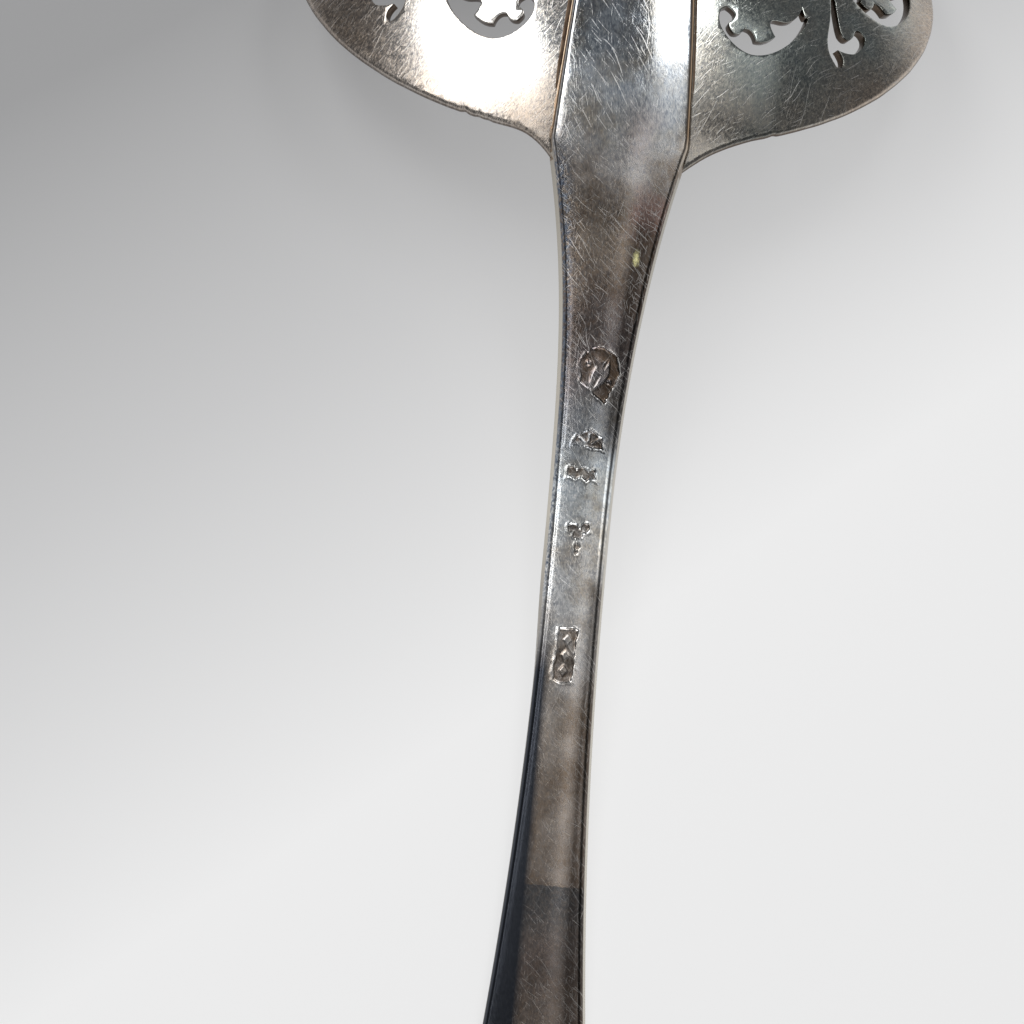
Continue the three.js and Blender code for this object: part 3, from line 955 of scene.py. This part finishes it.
silverLook = {
    "silver": (0.83, 0.82, 0.8),
    "beige": (0.62, 0.53, 0.45),
    "brown": (0.3, 0.235, 0.19),
    "blue": (0.5, 0.57, 0.66),
    "green": (0.43, 0.5, 0.475),
    # dark green: painted shade by the bowl's right rim, and the tarnish patches on the right
    "shadeAndPatchGreen": (0.2, 0.215, 0.205),
    "grime": (0.11, 0.075, 0.05),
    "scratch": (0.95, 0.93, 0.9),
    "scratchRoughness": 0.36,
    "darkStreak": (0.6, 0.63, 0.68),
    "brightStreak": (1.36, 1.32, 1.24),
    "scratchShare": 0.7,
    "streakEnds": (0.22, 0.78),
    "streakRoughness": 0.12,
    "soilRoughness": 0.15,
    "weaker": (0, 1, 0.45, 1),  # scratches are fainter between clouds of their own
    "rubbed": (0.3, 0.7, 0.3, 1),
    "sway": 1.6,  # millimetres by which the scratches leave a straight line
    "swayNoise": (0.16, 1, 0.5),
    "seedStep": (3.7, 5.3),  # from one layer to the next: scratches, streaks
    "layers": (  # turn in degrees, spacing, length, width, cover, strength
        (6, 0.3, 1.3, 0.05, 0.85, 0.95),
        (43, 0.55, 2.6, 0.06, 0.8, 1.1),
        (-16, 0.48, 1.3, 0.05, 0.75, 0.85),
        (52, 0.5, 1.7, 0.05, 0.8, 1),
        (-50, 0.8, 1.6, 0.05, 0.6, 0.8),
        (36, 1.1, 4.2, 0.065, 0.65, 1.2),
        (-27, 2.4, 3.6, 0.055, 0.5, 1),
        (13, 2.1, 6, 0.055, 0.55, 1),
    ),
}


def skinOf(tree):
    # the place on the flat piece, in millimetres
    skin = addNode(tree, "ShaderNodeAttribute", attribute_name="skin")
    parts = addNode(tree, "ShaderNodeSeparateXYZ")
    join(tree, skin.outputs["Vector"], parts.inputs[0])
    return skin.outputs["Vector"], parts.outputs["X"], parts.outputs["Y"], parts.outputs["Z"]


def scratched(tree, vector, look, seed):
    sway = addNoise(tree, vector, *silverLook["swayNoise"])
    bent = addNode(tree, "ShaderNodeVectorMath", operation="MULTIPLY_ADD")
    feed(tree, bent.inputs, (sway["Color"], (silverLook["sway"],) * 3, vector))
    total = None
    for index, (turn, spacing, length, width, cover, strength) in enumerate(silverLook["layers"]):
        layer = useGroup(
            tree, scratchGroup, Vector=bent.outputs[0], Turn=math.radians(turn), Spacing=spacing,
            Length=length, Width=width, Cover=cover, Seed=seed + silverLook["seedStep"][0] * index,
        )
        strength *= look["against"] if turn < 0 else 1
        strength *= look["fine"] if spacing < 0.5 else 1
        lines = product(tree, layer["Lines"], strength)
        total = lines if total is None else either(tree, total, lines)
    return total


def streaked(tree, vector, look, seed):
    # fields of fine streaks and a grain, together from 0, dark, to 1, bright
    total = None
    for index, (turn, width, length, share) in enumerate(look["satin"]):
        layer = useGroup(
            tree, satinGroup, Vector=vector, Turn=math.radians(turn), Width=width, Length=length,
            Seed=seed + silverLook["seedStep"][1] * index,
        )
        part = product(tree, layer["Streaks"], share)
        total = part if total is None else maths(tree, "ADD", total, part)
    return mapRange(tree, total, *silverLook["streakEnds"])


def finishSilver(tree, shader, vector, colour, masks, look, seed):
    # scratches and streaks over a tarnished silver: dull roughens, and polishes below 0; soil fills
    # hollows; plain has no scratches; and where it is rubbed the finest scratches run together
    dull, soil, plain, rub = masks
    shown = inverse(tree, plain)
    streaks = streaked(tree, vector, look, seed)
    worn = useGroup(tree, tarnishGroup, Vector=vector, Patch=5, Cover=0.6, Seed=seed + 20)
    kept = mapRange(tree, worn["Clouds"], *silverLook["weaker"])
    cut = product(tree, scratched(tree, vector, look, seed), kept, shown)
    lines = either(tree, cut, product(tree, rub, mapRange(tree, streaks, *silverLook["rubbed"])))
    shade = mixColours(tree, streaks, silverLook["darkStreak"], silverLook["brightStreak"])
    shaded = mixColours(tree, shown, colour, mixColours(tree, 1, colour, shade, "MULTIPLY"))
    share = product(tree, lines, silverLook["scratchShare"])
    lit = mixColours(tree, share, shaded, silverLook["scratch"])
    join(tree, mixColours(tree, soil, lit, silverLook["grime"]), shader.inputs["Base Color"])
    smooth, rougher = look["roughness"]
    rough = maths(tree, "MULTIPLY_ADD", dull, rougher - smooth, smooth)
    uneven = maths(tree, "SUBTRACT", streaks, 0.5)
    rough = maths(tree, "MULTIPLY_ADD", uneven, silverLook["streakRoughness"], rough)
    rough = maths(tree, "MULTIPLY_ADD", lines, silverLook["scratchRoughness"] - smooth, rough)
    rough = maths(tree, "MULTIPLY_ADD", soil, silverLook["soilRoughness"], rough)
    join(tree, rough, shader.inputs["Roughness"])
    bump = addNode(tree, "ShaderNodeBump")
    bump.inputs["Strength"].default_value = 1
    bump.inputs["Distance"].default_value = look["scratchDepth"] * 0.001
    join(tree, product(tree, cut, -1), bump.inputs["Height"])
    join(tree, bump.outputs[0], shader.inputs["Normal"])


bowlLook = {
    "roughness": (0.15, 0.24),  # clean, tarnished
    "scratchDepth": 0.007,  # millimetres
    "fine": 0.65,  # strength of the finest scratches, and of those that run the other way
    "against": 0.5,
    "satin": (  # turn, width, length, share
        (40, 0.09, 0.6, 0.35),
        (12, 0.08, 0.3, 0.3),
        (0, 0.3, 0.3, 0.35),
    ),
    "clouds": 9,
    "film": 16,
    "brownRim": ((0.74, 0.98), (0.88, 0.99)),  # where the rim's tarnish starts and is full: left, right
    "brownRight": (19, 28),  # the right rim has it only out here
    "brownLeft": (-22, -31),
    "greenSide": (-2, 14),
    # painted shade near the right rim: where it starts and where it is full
    "shadedRim": (0.76, 0.94),
    "wornRim": (0.972, 0.995),
    "wallTop": (-0.1, -0.25),  # heights between which a hole's wall starts, and where it ends
    "wallFoot": (-1.18, -1.08),
    "wallBrown": (0.07, 0.046, 0.032),
    "wallGrain": (0, 1, 0.84, 1),
    "rubOnRight": (0, 0.5, 0.6, 0.15),  # the rim is less rubbed there
    "shares": {
        "rim": 0.75, "cloudy": 0.3, "film": 0.5, "green": 0.75, "patchy": 0.4, "shadedRim": 0.95,
        "farLeft": 0.55, "mottle": 0.5, "soil": 0.5, "plainWall": 0.9,
    },
}


def makeBowlSilver():
    look, shares = bowlLook, bowlLook["shares"]
    material, tree, shader = newMaterial("wornBowlSilver", 0.3)
    vector, across, forth, height = skinOf(tree)
    clouds = useGroup(tree, tarnishGroup, Vector=vector, Patch=look["clouds"], Cover=0.55, Seed=3)
    film = useGroup(tree, tarnishGroup, Vector=vector, Patch=look["film"], Cover=0.55, Seed=11)
    cloudy, mottle = clouds["Clouds"], clouds["Mottle"]
    aside = maths(tree, "DIVIDE", across, bowlSizes["width"] / 2)
    outwards = distance(tree, aside, maths(tree, "DIVIDE", forth, bowlSizes["length"] / 2))
    leftRim, rightRim = (mapRange(tree, outwards, *reach) for reach in look["brownRim"])
    onRight = mapRange(tree, across, *look["greenSide"])
    farRight = mapRange(tree, across, *look["brownRight"])
    onLeft = product(tree, leftRim, inverse(tree, onRight))
    nearRim = maths(tree, "ADD", onLeft, product(tree, rightRim, farRight))
    cloudyBrown = product(tree, cloudy, shares["cloudy"])
    brown = maths(tree, "MULTIPLY_ADD", nearRim, shares["rim"], cloudyBrown, clamp=True)
    share = product(tree, film["Clouds"], shares["film"])
    colour = mixColours(tree, share, silverLook["silver"], silverLook["blue"])
    colour = mixColours(tree, product(tree, onRight, shares["green"]), colour, silverLook["green"])
    # painted shade darkens the right side near the rim, against a lamp's glint; tarnish patches there take
    # the same dark green
    low = product(tree, mapRange(tree, outwards, *look["shadedRim"]), onRight, inverse(tree, farRight))
    patchy = product(tree, cloudy, onRight, shares["patchy"])
    low = either(tree, product(tree, low, shares["shadedRim"]), patchy)
    colour = mixColours(tree, low, colour, silverLook["shadeAndPatchGreen"])
    colour = mixColours(tree, brown, colour, silverLook["beige"])
    farLeft = product(tree, mapRange(tree, across, *look["brownLeft"]), shares["farLeft"])
    colour = mixColours(tree, farLeft, colour, silverLook["brown"])
    mottled = product(tree, mottle, brown, shares["mottle"])
    colour = mixColours(tree, mottled, colour, silverLook["brown"])
    wall = mapRange(tree, height, *look["wallTop"])
    wall = product(tree, wall, mapRange(tree, height, *look["wallFoot"]))
    stain = product(tree, wall, mapRange(tree, mottle, *look["wallGrain"]))
    colour = mixColours(tree, stain, colour, look["wallBrown"])
    soil = product(tree, wall, cloudy, shares["soil"])
    rub = product(tree, mapRange(tree, outwards, *look["wornRim"]), mottle)
    rub = product(tree, rub, mapRange(tree, onRight, *look["rubOnRight"]))
    masks = brown, soil, product(tree, wall, shares["plainWall"]), rub
    finishSilver(tree, shader, vector, colour, masks, look, 1)
    return material


handleLook = {
    "roughness": (0.12, 0.19),  # clean, tarnished
    "scratchDepth": 0.003,
    "fine": 0.8,
    "against": 1,
    "satin": (  # turn, width, length, share
        (3, 0.08, 0.7, 0.4),
        (33, 0.08, 0.4, 0.3),
        (0, 0.3, 0.4, 0.3),
    ),
    "tints": (  # along, colour of the film of tarnish there; the pale bluish stops at 40 and 49 also paint a band of reflected light
        (-36, (0.66, 0.73, 0.84)),
        (-8, (0.7, 0.77, 0.85)),
        (-2, (0.76, 0.79, 0.82)),
        (2, (0.56, 0.51, 0.475)),
        (6.5, (0.27, 0.215, 0.165)),
        (11, (0.38, 0.3, 0.23)),
        (18, (0.215, 0.155, 0.12)),
        (26, (0.25, 0.215, 0.21)),
        (33, (0.44, 0.46, 0.49)),
        (40, (0.88, 0.95, 1)),
        (49, (1, 1, 1)),
        (58, (0.8, 0.76, 0.73)),
        (67, (0.6, 0.51, 0.43)),
        (82, (0.46, 0.375, 0.31)),
        (90, (0.37, 0.285, 0.225)),
        (128, (0.37, 0.285, 0.225)),
    ),
    "patches": (  # across, along, radius, colour, share
        (4.2, 8.5, 3.4, (0.44, 0.28, 0.24), 0.8),
        # partly pinkish tarnish, partly painted shade over a lamp's smear right of the heel
        (1.9, -0.6, 3.2, (0.44, 0.355, 0.32), 0.65),
        (-0.6, 91, 4, (0.42, 0.29, 0.215), 0.9),
        (-1.0, 23.5, 2.8, (0.17, 0.12, 0.105), 0.7),
        (0.6, 104, 4.0, (0.2, 0.19, 0.2), 0.8),
        (-1.5, 115, 4.5, (0.33, 0.24, 0.19), 0.7),
    ),
    "drift": (5, -2.5),  # millimetres by which the film's clouds move the tints
    "blueShare": 0.2,
    "glintColour": (1, 0.95, 0.5),  # a small painted glint of yellow reflected light
    "glintPlace": (3.15, 13),
    "glintRadius": 0.5,
    "glintSquash": 0.45,  # its width as a share of its length
    "cloud": (0.57, 0.5, 0.42),  # share of each colour left under a cloud of tarnish
    "patchEnd": (0.25, 82.7),  # a warm patch of tarnish stops short in a line: how ragged, and where
    "coldEnd": (98, 84),  # and the cold tarnish below it fades out between these
    "coldGrain": (0.1, 0.6, 0.45, 0.9),
    "belowPatch": (0.13, 0.135, 0.145),
    "leftShadeBand": ((-1.5, -2.3), (50, 60)),  # the stem's left edge in painted shade: across, along
    # painted shade: the dark blue of the stem's left edge
    "edgeShade": (0.06, 0.066, 0.08),
    "paintedSheenBand": ((-1, -2), (-0.2, -0.34), (-2, 4), (56, 48)),  # painted reflection, a light line on it: across, up, start, end
    "lightGrain": (0.35, 0.65),
    # painted reflection: the bluish colour of the light line on the left edge
    "edgeSheen": (0.19, 0.23, 0.3),
    "edgeTint": (0.72, 0.7, 0.67),  # of what its steepest sides reflect
    "rightShade": ((0.5, 1.5), (-0.04, -0.13), (0, 10)),  # painted shade over the right part, against a lamp's glint: across, up, start
    "rightShadeShare": (0.26, 0.25, 0.245),  # share of each colour left under the painted shade
    "bare": ((33, 38), (51, 46)),  # it is rubbed bare from here to here, where the painted shade lifts
    "sideUp": (-0.85, -1.15),  # heights over which the stem's and the tongue's sides start
    "tongueSideUp": (-0.6, -0.75),
    "tongueStart": (3, -1),
    "tongueLean": (-1, 1, 0, 0.22),  # its sides start higher on the right
    "sideBrown": (0.42, 0.3, 0.2),
    "sidePale": (0.86, 0.82, 0.73),
    # painted shade on the sides, low on the left
    "sideShade": (0.06, 0.045, 0.042),
    "lowLeftShade": ((1, -1), (42, 60)),  # painted shade darkens the sides here: across, along
    "wornTongue": (4.2, -6),
    "wornRadius": 3.6,
    "wornShare": 0.3,
    "burr": (-0.008, -0.035),  # depths of the marks over which their burr and their dirt come in
    "soil": (0.05, 0.13),
    "soilGrain": (0, 0.8, 0.35, 0.9),
    "fainter": (50, 68, 0, 0.5),  # the scratches fade from here to here along, by these shares
    "plainBand": 0.95,
    "tarnished": (-8, 12),
    "bareGloss": -2,
}

patchEdge = {"ragged": 0.8, "outer": 1.35, "inner": 0.45}  # shares of a patch's radius


def patchMask(tree, across, along, ragged, place, radius):
    # full in the middle of a round patch, fading to its ragged edge
    aside = maths(tree, "SUBTRACT", across, place[0])
    away = distance(tree, aside, maths(tree, "SUBTRACT", along, place[1]))
    away = maths(tree, "MULTIPLY_ADD", ragged, patchEdge["ragged"] * radius, away)
    return mapRange(tree, away, patchEdge["outer"] * radius, patchEdge["inner"] * radius)


def ramp(tree, value, stops):
    # colours by distance; the first and the last stop hold beyond the ends
    low, high = stops[0][0], stops[-1][0]
    node = addNode(tree, "ShaderNodeValToRGB")
    join(tree, mapRange(tree, value, low, high), node.inputs[0])
    elements = node.color_ramp.elements
    while len(elements) < len(stops):
        elements.new(0.5)
    for element, (place, colour) in zip(elements, stops):
        element.position = (place - low) / (high - low)
    for element, (place, colour) in zip(elements, stops):
        element.color = (*colour, 1)
    return node.outputs["Color"]


def tarnishWithPaintedLight(tree, skin, clouds, film):
    # the film of tarnish down the back, its patches and its clouds; the tints also paint a band of reflected
    # light, and one patch paints shade near the heel
    _, across, along, _ = skin
    cloudy, mottle = clouds["Clouds"], clouds["Mottle"]
    drift = maths(tree, "MULTIPLY_ADD", film["Clouds"], *handleLook["drift"])
    colour = ramp(tree, maths(tree, "ADD", along, drift), handleLook["tints"])
    for x, y, radius, tint, share in handleLook["patches"]:
        mask = patchMask(tree, across, along, cloudy, (x, y), radius)
        colour = mixColours(tree, product(tree, mask, share), colour, tint)
    clouded = mixColours(tree, 1, colour, handleLook["cloud"], "MULTIPLY")
    colour = mixColours(tree, cloudy, colour, clouded)
    share = product(tree, film["Mottle"], handleLook["blueShare"])
    colour = mixColours(tree, share, colour, silverLook["blue"])
    raggedEnd = maths(tree, "MULTIPLY_ADD", mottle, *handleLook["patchEnd"])
    below = maths(tree, "GREATER_THAN", along, raggedEnd)
    below = product(tree, below, mapRange(tree, along, *handleLook["coldEnd"]))
    below = product(tree, below, mapRange(tree, mottle, *handleLook["coldGrain"]))
    return mixColours(tree, below, colour, handleLook["belowPatch"])


def shadeEdges(tree, skin, mottle, colour):
    # the stem's left edge in painted shade, a painted light line of reflection on it, and painted shade over
    # the right part, lifted where it is rubbed bare
    _, across, along, up = skin
    sideways, lengthways = handleLook["leftShadeBand"]
    leftShadeBand = product(tree, mapRange(tree, across, *sideways), mapRange(tree, along, *lengthways))
    colour = mixColours(tree, leftShadeBand, colour, handleLook["edgeShade"])
    sideways, upwards, first, last = handleLook["paintedSheenBand"]
    paintedSheenBand = product(tree, mapRange(tree, up, *upwards), mapRange(tree, across, *sideways))
    paintedSheenBand = product(tree, paintedSheenBand, mapRange(tree, along, *first), mapRange(tree, along, *last))
    paintedSheenBand = product(tree, paintedSheenBand, mapRange(tree, mottle, *handleLook["lightGrain"]))
    colour = mixColours(tree, paintedSheenBand, colour, handleLook["edgeSheen"])
    sideways, upwards, first = handleLook["rightShade"]
    edge = product(tree, mapRange(tree, across, *sideways), mapRange(tree, up, *upwards))
    bareStart, bareEnd = handleLook["bare"]
    bare = product(tree, edge, mapRange(tree, along, *bareStart), mapRange(tree, along, *bareEnd))
    rightShade = product(tree, maths(tree, "SUBTRACT", edge, bare), mapRange(tree, along, *first))
    darker = mixColours(tree, 1, colour, handleLook["rightShadeShare"], "MULTIPLY")
    return mixColours(tree, rightShade, colour, darker), leftShadeBand, bare


# paints a small yellow glint of reflection on the back
def paintGlint(tree, skin, mottle, colour):
    _, across, along, _ = skin
    squash = handleLook["glintSquash"]
    glintAcross, glintAlong = handleLook["glintPlace"]
    place = (glintAcross, glintAlong * squash)
    glintSpot = patchMask(tree, across, product(tree, along, squash), mottle, place, handleLook["glintRadius"])
    return mixColours(tree, glintSpot, colour, handleLook["glintColour"])


def paintSides(tree, skin, colour):
    _, across, along, up = skin
    onTongue = mapRange(tree, along, *handleLook["tongueStart"])
    tongueUp = maths(tree, "SUBTRACT", up, mapRange(tree, across, *handleLook["tongueLean"]))
    side = product(tree, mapRange(tree, tongueUp, *handleLook["tongueSideUp"]), onTongue)
    side = either(tree, mapRange(tree, up, *handleLook["sideUp"]), side)
    tint = mixColours(tree, onTongue, handleLook["sidePale"], handleLook["sideBrown"])
    sideways, lengthways = handleLook["lowLeftShade"]
    lowLeftShade = product(tree, mapRange(tree, along, *lengthways), mapRange(tree, across, *sideways))
    tint = mixColours(tree, lowLeftShade, tint, handleLook["sideShade"])
    return mixColours(tree, side, colour, tint), side


def makeHandleSilver():
    material, tree, shader = newMaterial("wornHandleSilver", 0.3)
    shader.inputs["Specular Tint"].default_value = (*handleLook["edgeTint"], 1)
    skin = skinOf(tree)
    vector, across, along, _ = skin
    clouds = useGroup(tree, tarnishGroup, Vector=vector, Patch=5, Cover=0.5, Seed=5)
    film = useGroup(tree, tarnishGroup, Vector=vector, Patch=11, Cover=0.5, Seed=17)
    mottle = clouds["Mottle"]
    colour = tarnishWithPaintedLight(tree, skin, clouds, film)
    colour, leftShadeBand, bare = shadeEdges(tree, skin, mottle, colour)
    colour = paintGlint(tree, skin, mottle, colour)
    colour, side = paintSides(tree, skin, colour)

    # burrs and dirt of the struck marks
    struck = addNode(tree, "ShaderNodeAttribute", attribute_name="struck").outputs["Fac"]
    burr = product(tree, mapRange(tree, struck, *handleLook["burr"]), mottle)
    colour = mixColours(tree, burr, colour, silverLook["scratch"])
    grain = mapRange(tree, mottle, *handleLook["soilGrain"])
    soil = product(tree, mapRange(tree, struck, *handleLook["soil"]), grain)

    plain = either(tree, side, mapRange(tree, along, *handleLook["fainter"]))
    plain = either(tree, plain, product(tree, leftShadeBand, handleLook["plainBand"]))
    place, radius = handleLook["wornTongue"], handleLook["wornRadius"]
    worn = patchMask(tree, across, along, clouds["Clouds"], place, radius)
    tarnished = mapRange(tree, along, *handleLook["tarnished"])
    dull = maths(tree, "MULTIPLY_ADD", bare, handleLook["bareGloss"], tarnished)
    masks = dull, soil, plain, product(tree, worn, handleLook["wornShare"])
    finishSilver(tree, shader, vector, colour, masks, handleLook, 9)
    return material


solderLook = {
    "roughness": 0.42,
    "clouds": 3,
    "browns": ((0.3, 0.2, 0.13), (0.12, 0.08, 0.055)),
    "pale": (0.4, 0.29, 0.2),
}


def makeSolderLook():
    material, tree, shader = newMaterial("brownedSolder", solderLook["roughness"])
    place = addNode(tree, "ShaderNodeTexCoord")
    scale = addNode(tree, "ShaderNodeMapping")
    scale.inputs["Scale"].default_value = (1000, 1000, 1000)
    join(tree, place.outputs["Object"], scale.inputs["Vector"])
    vector = scale.outputs["Vector"]
    clouds = useGroup(tree, tarnishGroup, Vector=vector, Patch=solderLook["clouds"], Cover=0.5, Seed=8)
    colour = mixColours(tree, clouds["Mottle"], *solderLook["browns"])
    colour = mixColours(tree, clouds["Clouds"], colour, solderLook["pale"])
    join(tree, colour, shader.inputs["Base Color"])
    return material


def addMaterial(piece, material):
    piece.data.materials.clear()
    piece.data.materials.append(material)


bowl = makeBowl()
handle = makeHandle()
solder = makeSolder()
addMaterial(bowl, makeBowlSilver())
addMaterial(handle, makeHandleSilver())
addMaterial(solder, makeSolderLook())
print("materials done")

for piece, node, slot in (
    (bowl, "bowl", "bowl_silver"),
    (handle, "handle", "handle_silver"),
    (solder, "solder_joint", "solder"),
):
    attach(piece, "root")
    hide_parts(node)

# The studio: a pale floor, a dim ceiling over a pale horizon, and soft lamps close over the spoon
studio = {
    "floorSize": 16,
    "floorColour": (0.8, 0.8, 0.8),
    "shadeMiddle": (-0.08, 0.06, 0),  # a painted shadow darkens the floor behind the bowl; it is pale again out from here
    "shadeReach": 0.16,
    "shadeFade": 4,
    "slant": 1.2,
    "paintedFloorShadow": (  # along a slanting line over the floor, its colour as seen there, darkest in the painted shadow
        (-0.14, (0.2, 0.2, 0.205)),
        (-0.125, (0.21, 0.21, 0.215)),
        (-0.045, (0.57, 0.57, 0.575)),
        (0.03, (0.97, 0.97, 0.97)),
    ),
    "floorGlow": 0.7,  # how much of the seen floor glows with the painted shadow and takes no cast shadow
    "paleSweep": (0.66, 0.66, 0.67),
    "dimCeiling": (0.118, 0.12, 0.124),
    "sweepTop": (0.04, 0.3),  # height of a direction where the pale sweep ends, and where the dim starts
    "seen": (0.84, 0.84, 0.84),
    "panelHeight": 0.2,
    "panels": (  # place, turn, size and power of each, as the bright shapes in the bowl's back show them
        ("leftLamp", (-0.124, 0.089), 20, (0.1, 0.172), 0.2162),
        ("leftStrip", (-0.061, 0.014), 3, (0.017, 0.06), 0.0112),
        ("leftEdge", (-0.135, -0.022), 0, (0.09, 0.04), 0.004),
        ("rightLamp", (0.0475, 0.1), 8, (0.041, 0.105), 0.0543),
        ("rightWing", (0.079, 0.121), 0, (0.02, 0.066), 0.0166),
        ("rightFade", (0.054, 0.034), 4, (0.042, 0.026), 0.0031),
        ("rightLow", (0.054, -0.003), 0, (0.046, 0.046), 0.0028),
        ("rightFar", (0.12, 0.07), 0, (0.085, 0.1), 0.0098),
        ("rightEdge", (0.165, -0.015), 0, (0.07, 0.03), 0.0024),
        ("rightGlint", (0.078, -0.019), 0, (0.104, 0.025), 0.0107),
        ("middle", (-0.008, -0.017), 0, (0.075, 0.03), 0.0013),
        ("middleFar", (-0.008, 0.019), 0, (0.075, 0.042), 0.0015),
    ),
    "front": {"place": (0, -0.38, 0.3), "lean": 50, "size": (0.3, 0.15), "power": 0.7},
}


def makeFloor():
    bpy.ops.object.select_all(action="DESELECT")
    bpy.ops.mesh.primitive_plane_add(size=studio["floorSize"])
    floor = bpy.context.object
    floor.name = "floor"
    material, tree, shader = newMaterial("palePaper", 0.9)
    shader.inputs["Metallic"].default_value = 0
    shader.inputs["Base Color"].default_value = (*studio["floorColour"], 1)
    shader.inputs["Specular IOR Level"].default_value = 0.1
    place = addNode(tree, "ShaderNodeTexCoord")
    parts = addNode(tree, "ShaderNodeSeparateXYZ")
    join(tree, place.outputs["Object"], parts.inputs[0])
    slant = product(tree, parts.outputs["Y"], studio["slant"])
    slant = maths(tree, "SUBTRACT", parts.outputs["X"], slant)
    away = addNode(tree, "ShaderNodeVectorMath", operation="DISTANCE")
    join(tree, place.outputs["Object"], away.inputs[0])
    away.inputs[1].default_value = studio["shadeMiddle"]
    beyond = maths(tree, "SUBTRACT", away.outputs["Value"], studio["shadeReach"])
    slant = maths(tree, "MULTIPLY_ADD", either(tree, beyond, 0), studio["shadeFade"], slant)
    # the seen floor glows in the colours of the painted shadow
    even = addNode(tree, "ShaderNodeEmission")
    join(tree, ramp(tree, slant, studio["paintedFloorShadow"]), even.inputs["Color"])
    rays = addNode(tree, "ShaderNodeLightPath")
    seen = either(tree, rays.outputs["Is Camera Ray"], rays.outputs["Is Glossy Ray"])
    seen = either(tree, seen, rays.outputs["Is Transmission Ray"])
    mixed = addNode(tree, "ShaderNodeMixShader")
    join(tree, product(tree, seen, studio["floorGlow"]), mixed.inputs[0])
    join(tree, shader.outputs[0], mixed.inputs[1])
    join(tree, even.outputs[0], mixed.inputs[2])
    join(tree, mixed.outputs[0], tree.nodes["Material Output"].inputs["Surface"])
    addMaterial(floor, material)


def addLamp(name, place, lean, turn, size, power):
    bpy.ops.object.light_add(type="AREA", location=place)
    light = bpy.context.object
    light.name = name
    light.rotation_euler = (math.radians(lean), 0, math.radians(turn))
    light.data.shape = "RECTANGLE"
    light.data.size, light.data.size_y = size
    light.data.energy = power
    light.visible_camera = False


def makeLamps():
    for name, place, turn, size, power in studio["panels"]:
        addLamp(name, (*place, studio["panelHeight"]), 0, turn, size, power)
    front = studio["front"]
    addLamp("frontLamp", front["place"], front["lean"], 0, front["size"], front["power"])


def makeSky():
    world = bpy.data.worlds.new("studio")
    bpy.context.scene.world = world
    world.use_nodes = True
    tree = world.node_tree
    place = addNode(tree, "ShaderNodeTexCoord")
    parts = addNode(tree, "ShaderNodeSeparateXYZ")
    join(tree, place.outputs["Generated"], parts.inputs[0])
    rise = mapRange(tree, parts.outputs["Z"], *studio["sweepTop"])
    colour = mixColours(tree, rise, studio["paleSweep"], studio["dimCeiling"])
    rays = addNode(tree, "ShaderNodeLightPath")
    colour = mixColours(tree, rays.outputs["Is Camera Ray"], colour, studio["seen"])
    join(tree, colour, tree.nodes["Background"].inputs["Color"])


makeFloor()
makeLamps()
makeSky()

# The camera stands over the handle and looks down at the joint with the bowl
cameraSizes = {
    "place": (-0.010293, -0.097682, 0.199202),
    "aim": (-0.007151, -0.007004, 0),
    "roll": 7.007,
    "fieldOfView": 30.0,
    "sensor": 36,
}
bpy.ops.object.camera_add(location=cameraSizes["place"])
camera = bpy.context.object
gaze = Vector(cameraSizes["aim"]) - Vector(cameraSizes["place"])
level = gaze.to_track_quat("-Z", "Y").to_matrix()
camera.rotation_euler = (level @ Matrix.Rotation(math.radians(cameraSizes["roll"]), 3, "Z")).to_euler()
camera.data.sensor_width = cameraSizes["sensor"]
camera.data.lens = cameraSizes["sensor"] / 2 / math.tan(math.radians(cameraSizes["fieldOfView"] / 2))
camera.data.clip_start = 0.005
camera.data.clip_end = 20
bpy.context.scene.camera = camera
bpy.context.scene.view_settings.view_transform = "Standard"
print("studio done")
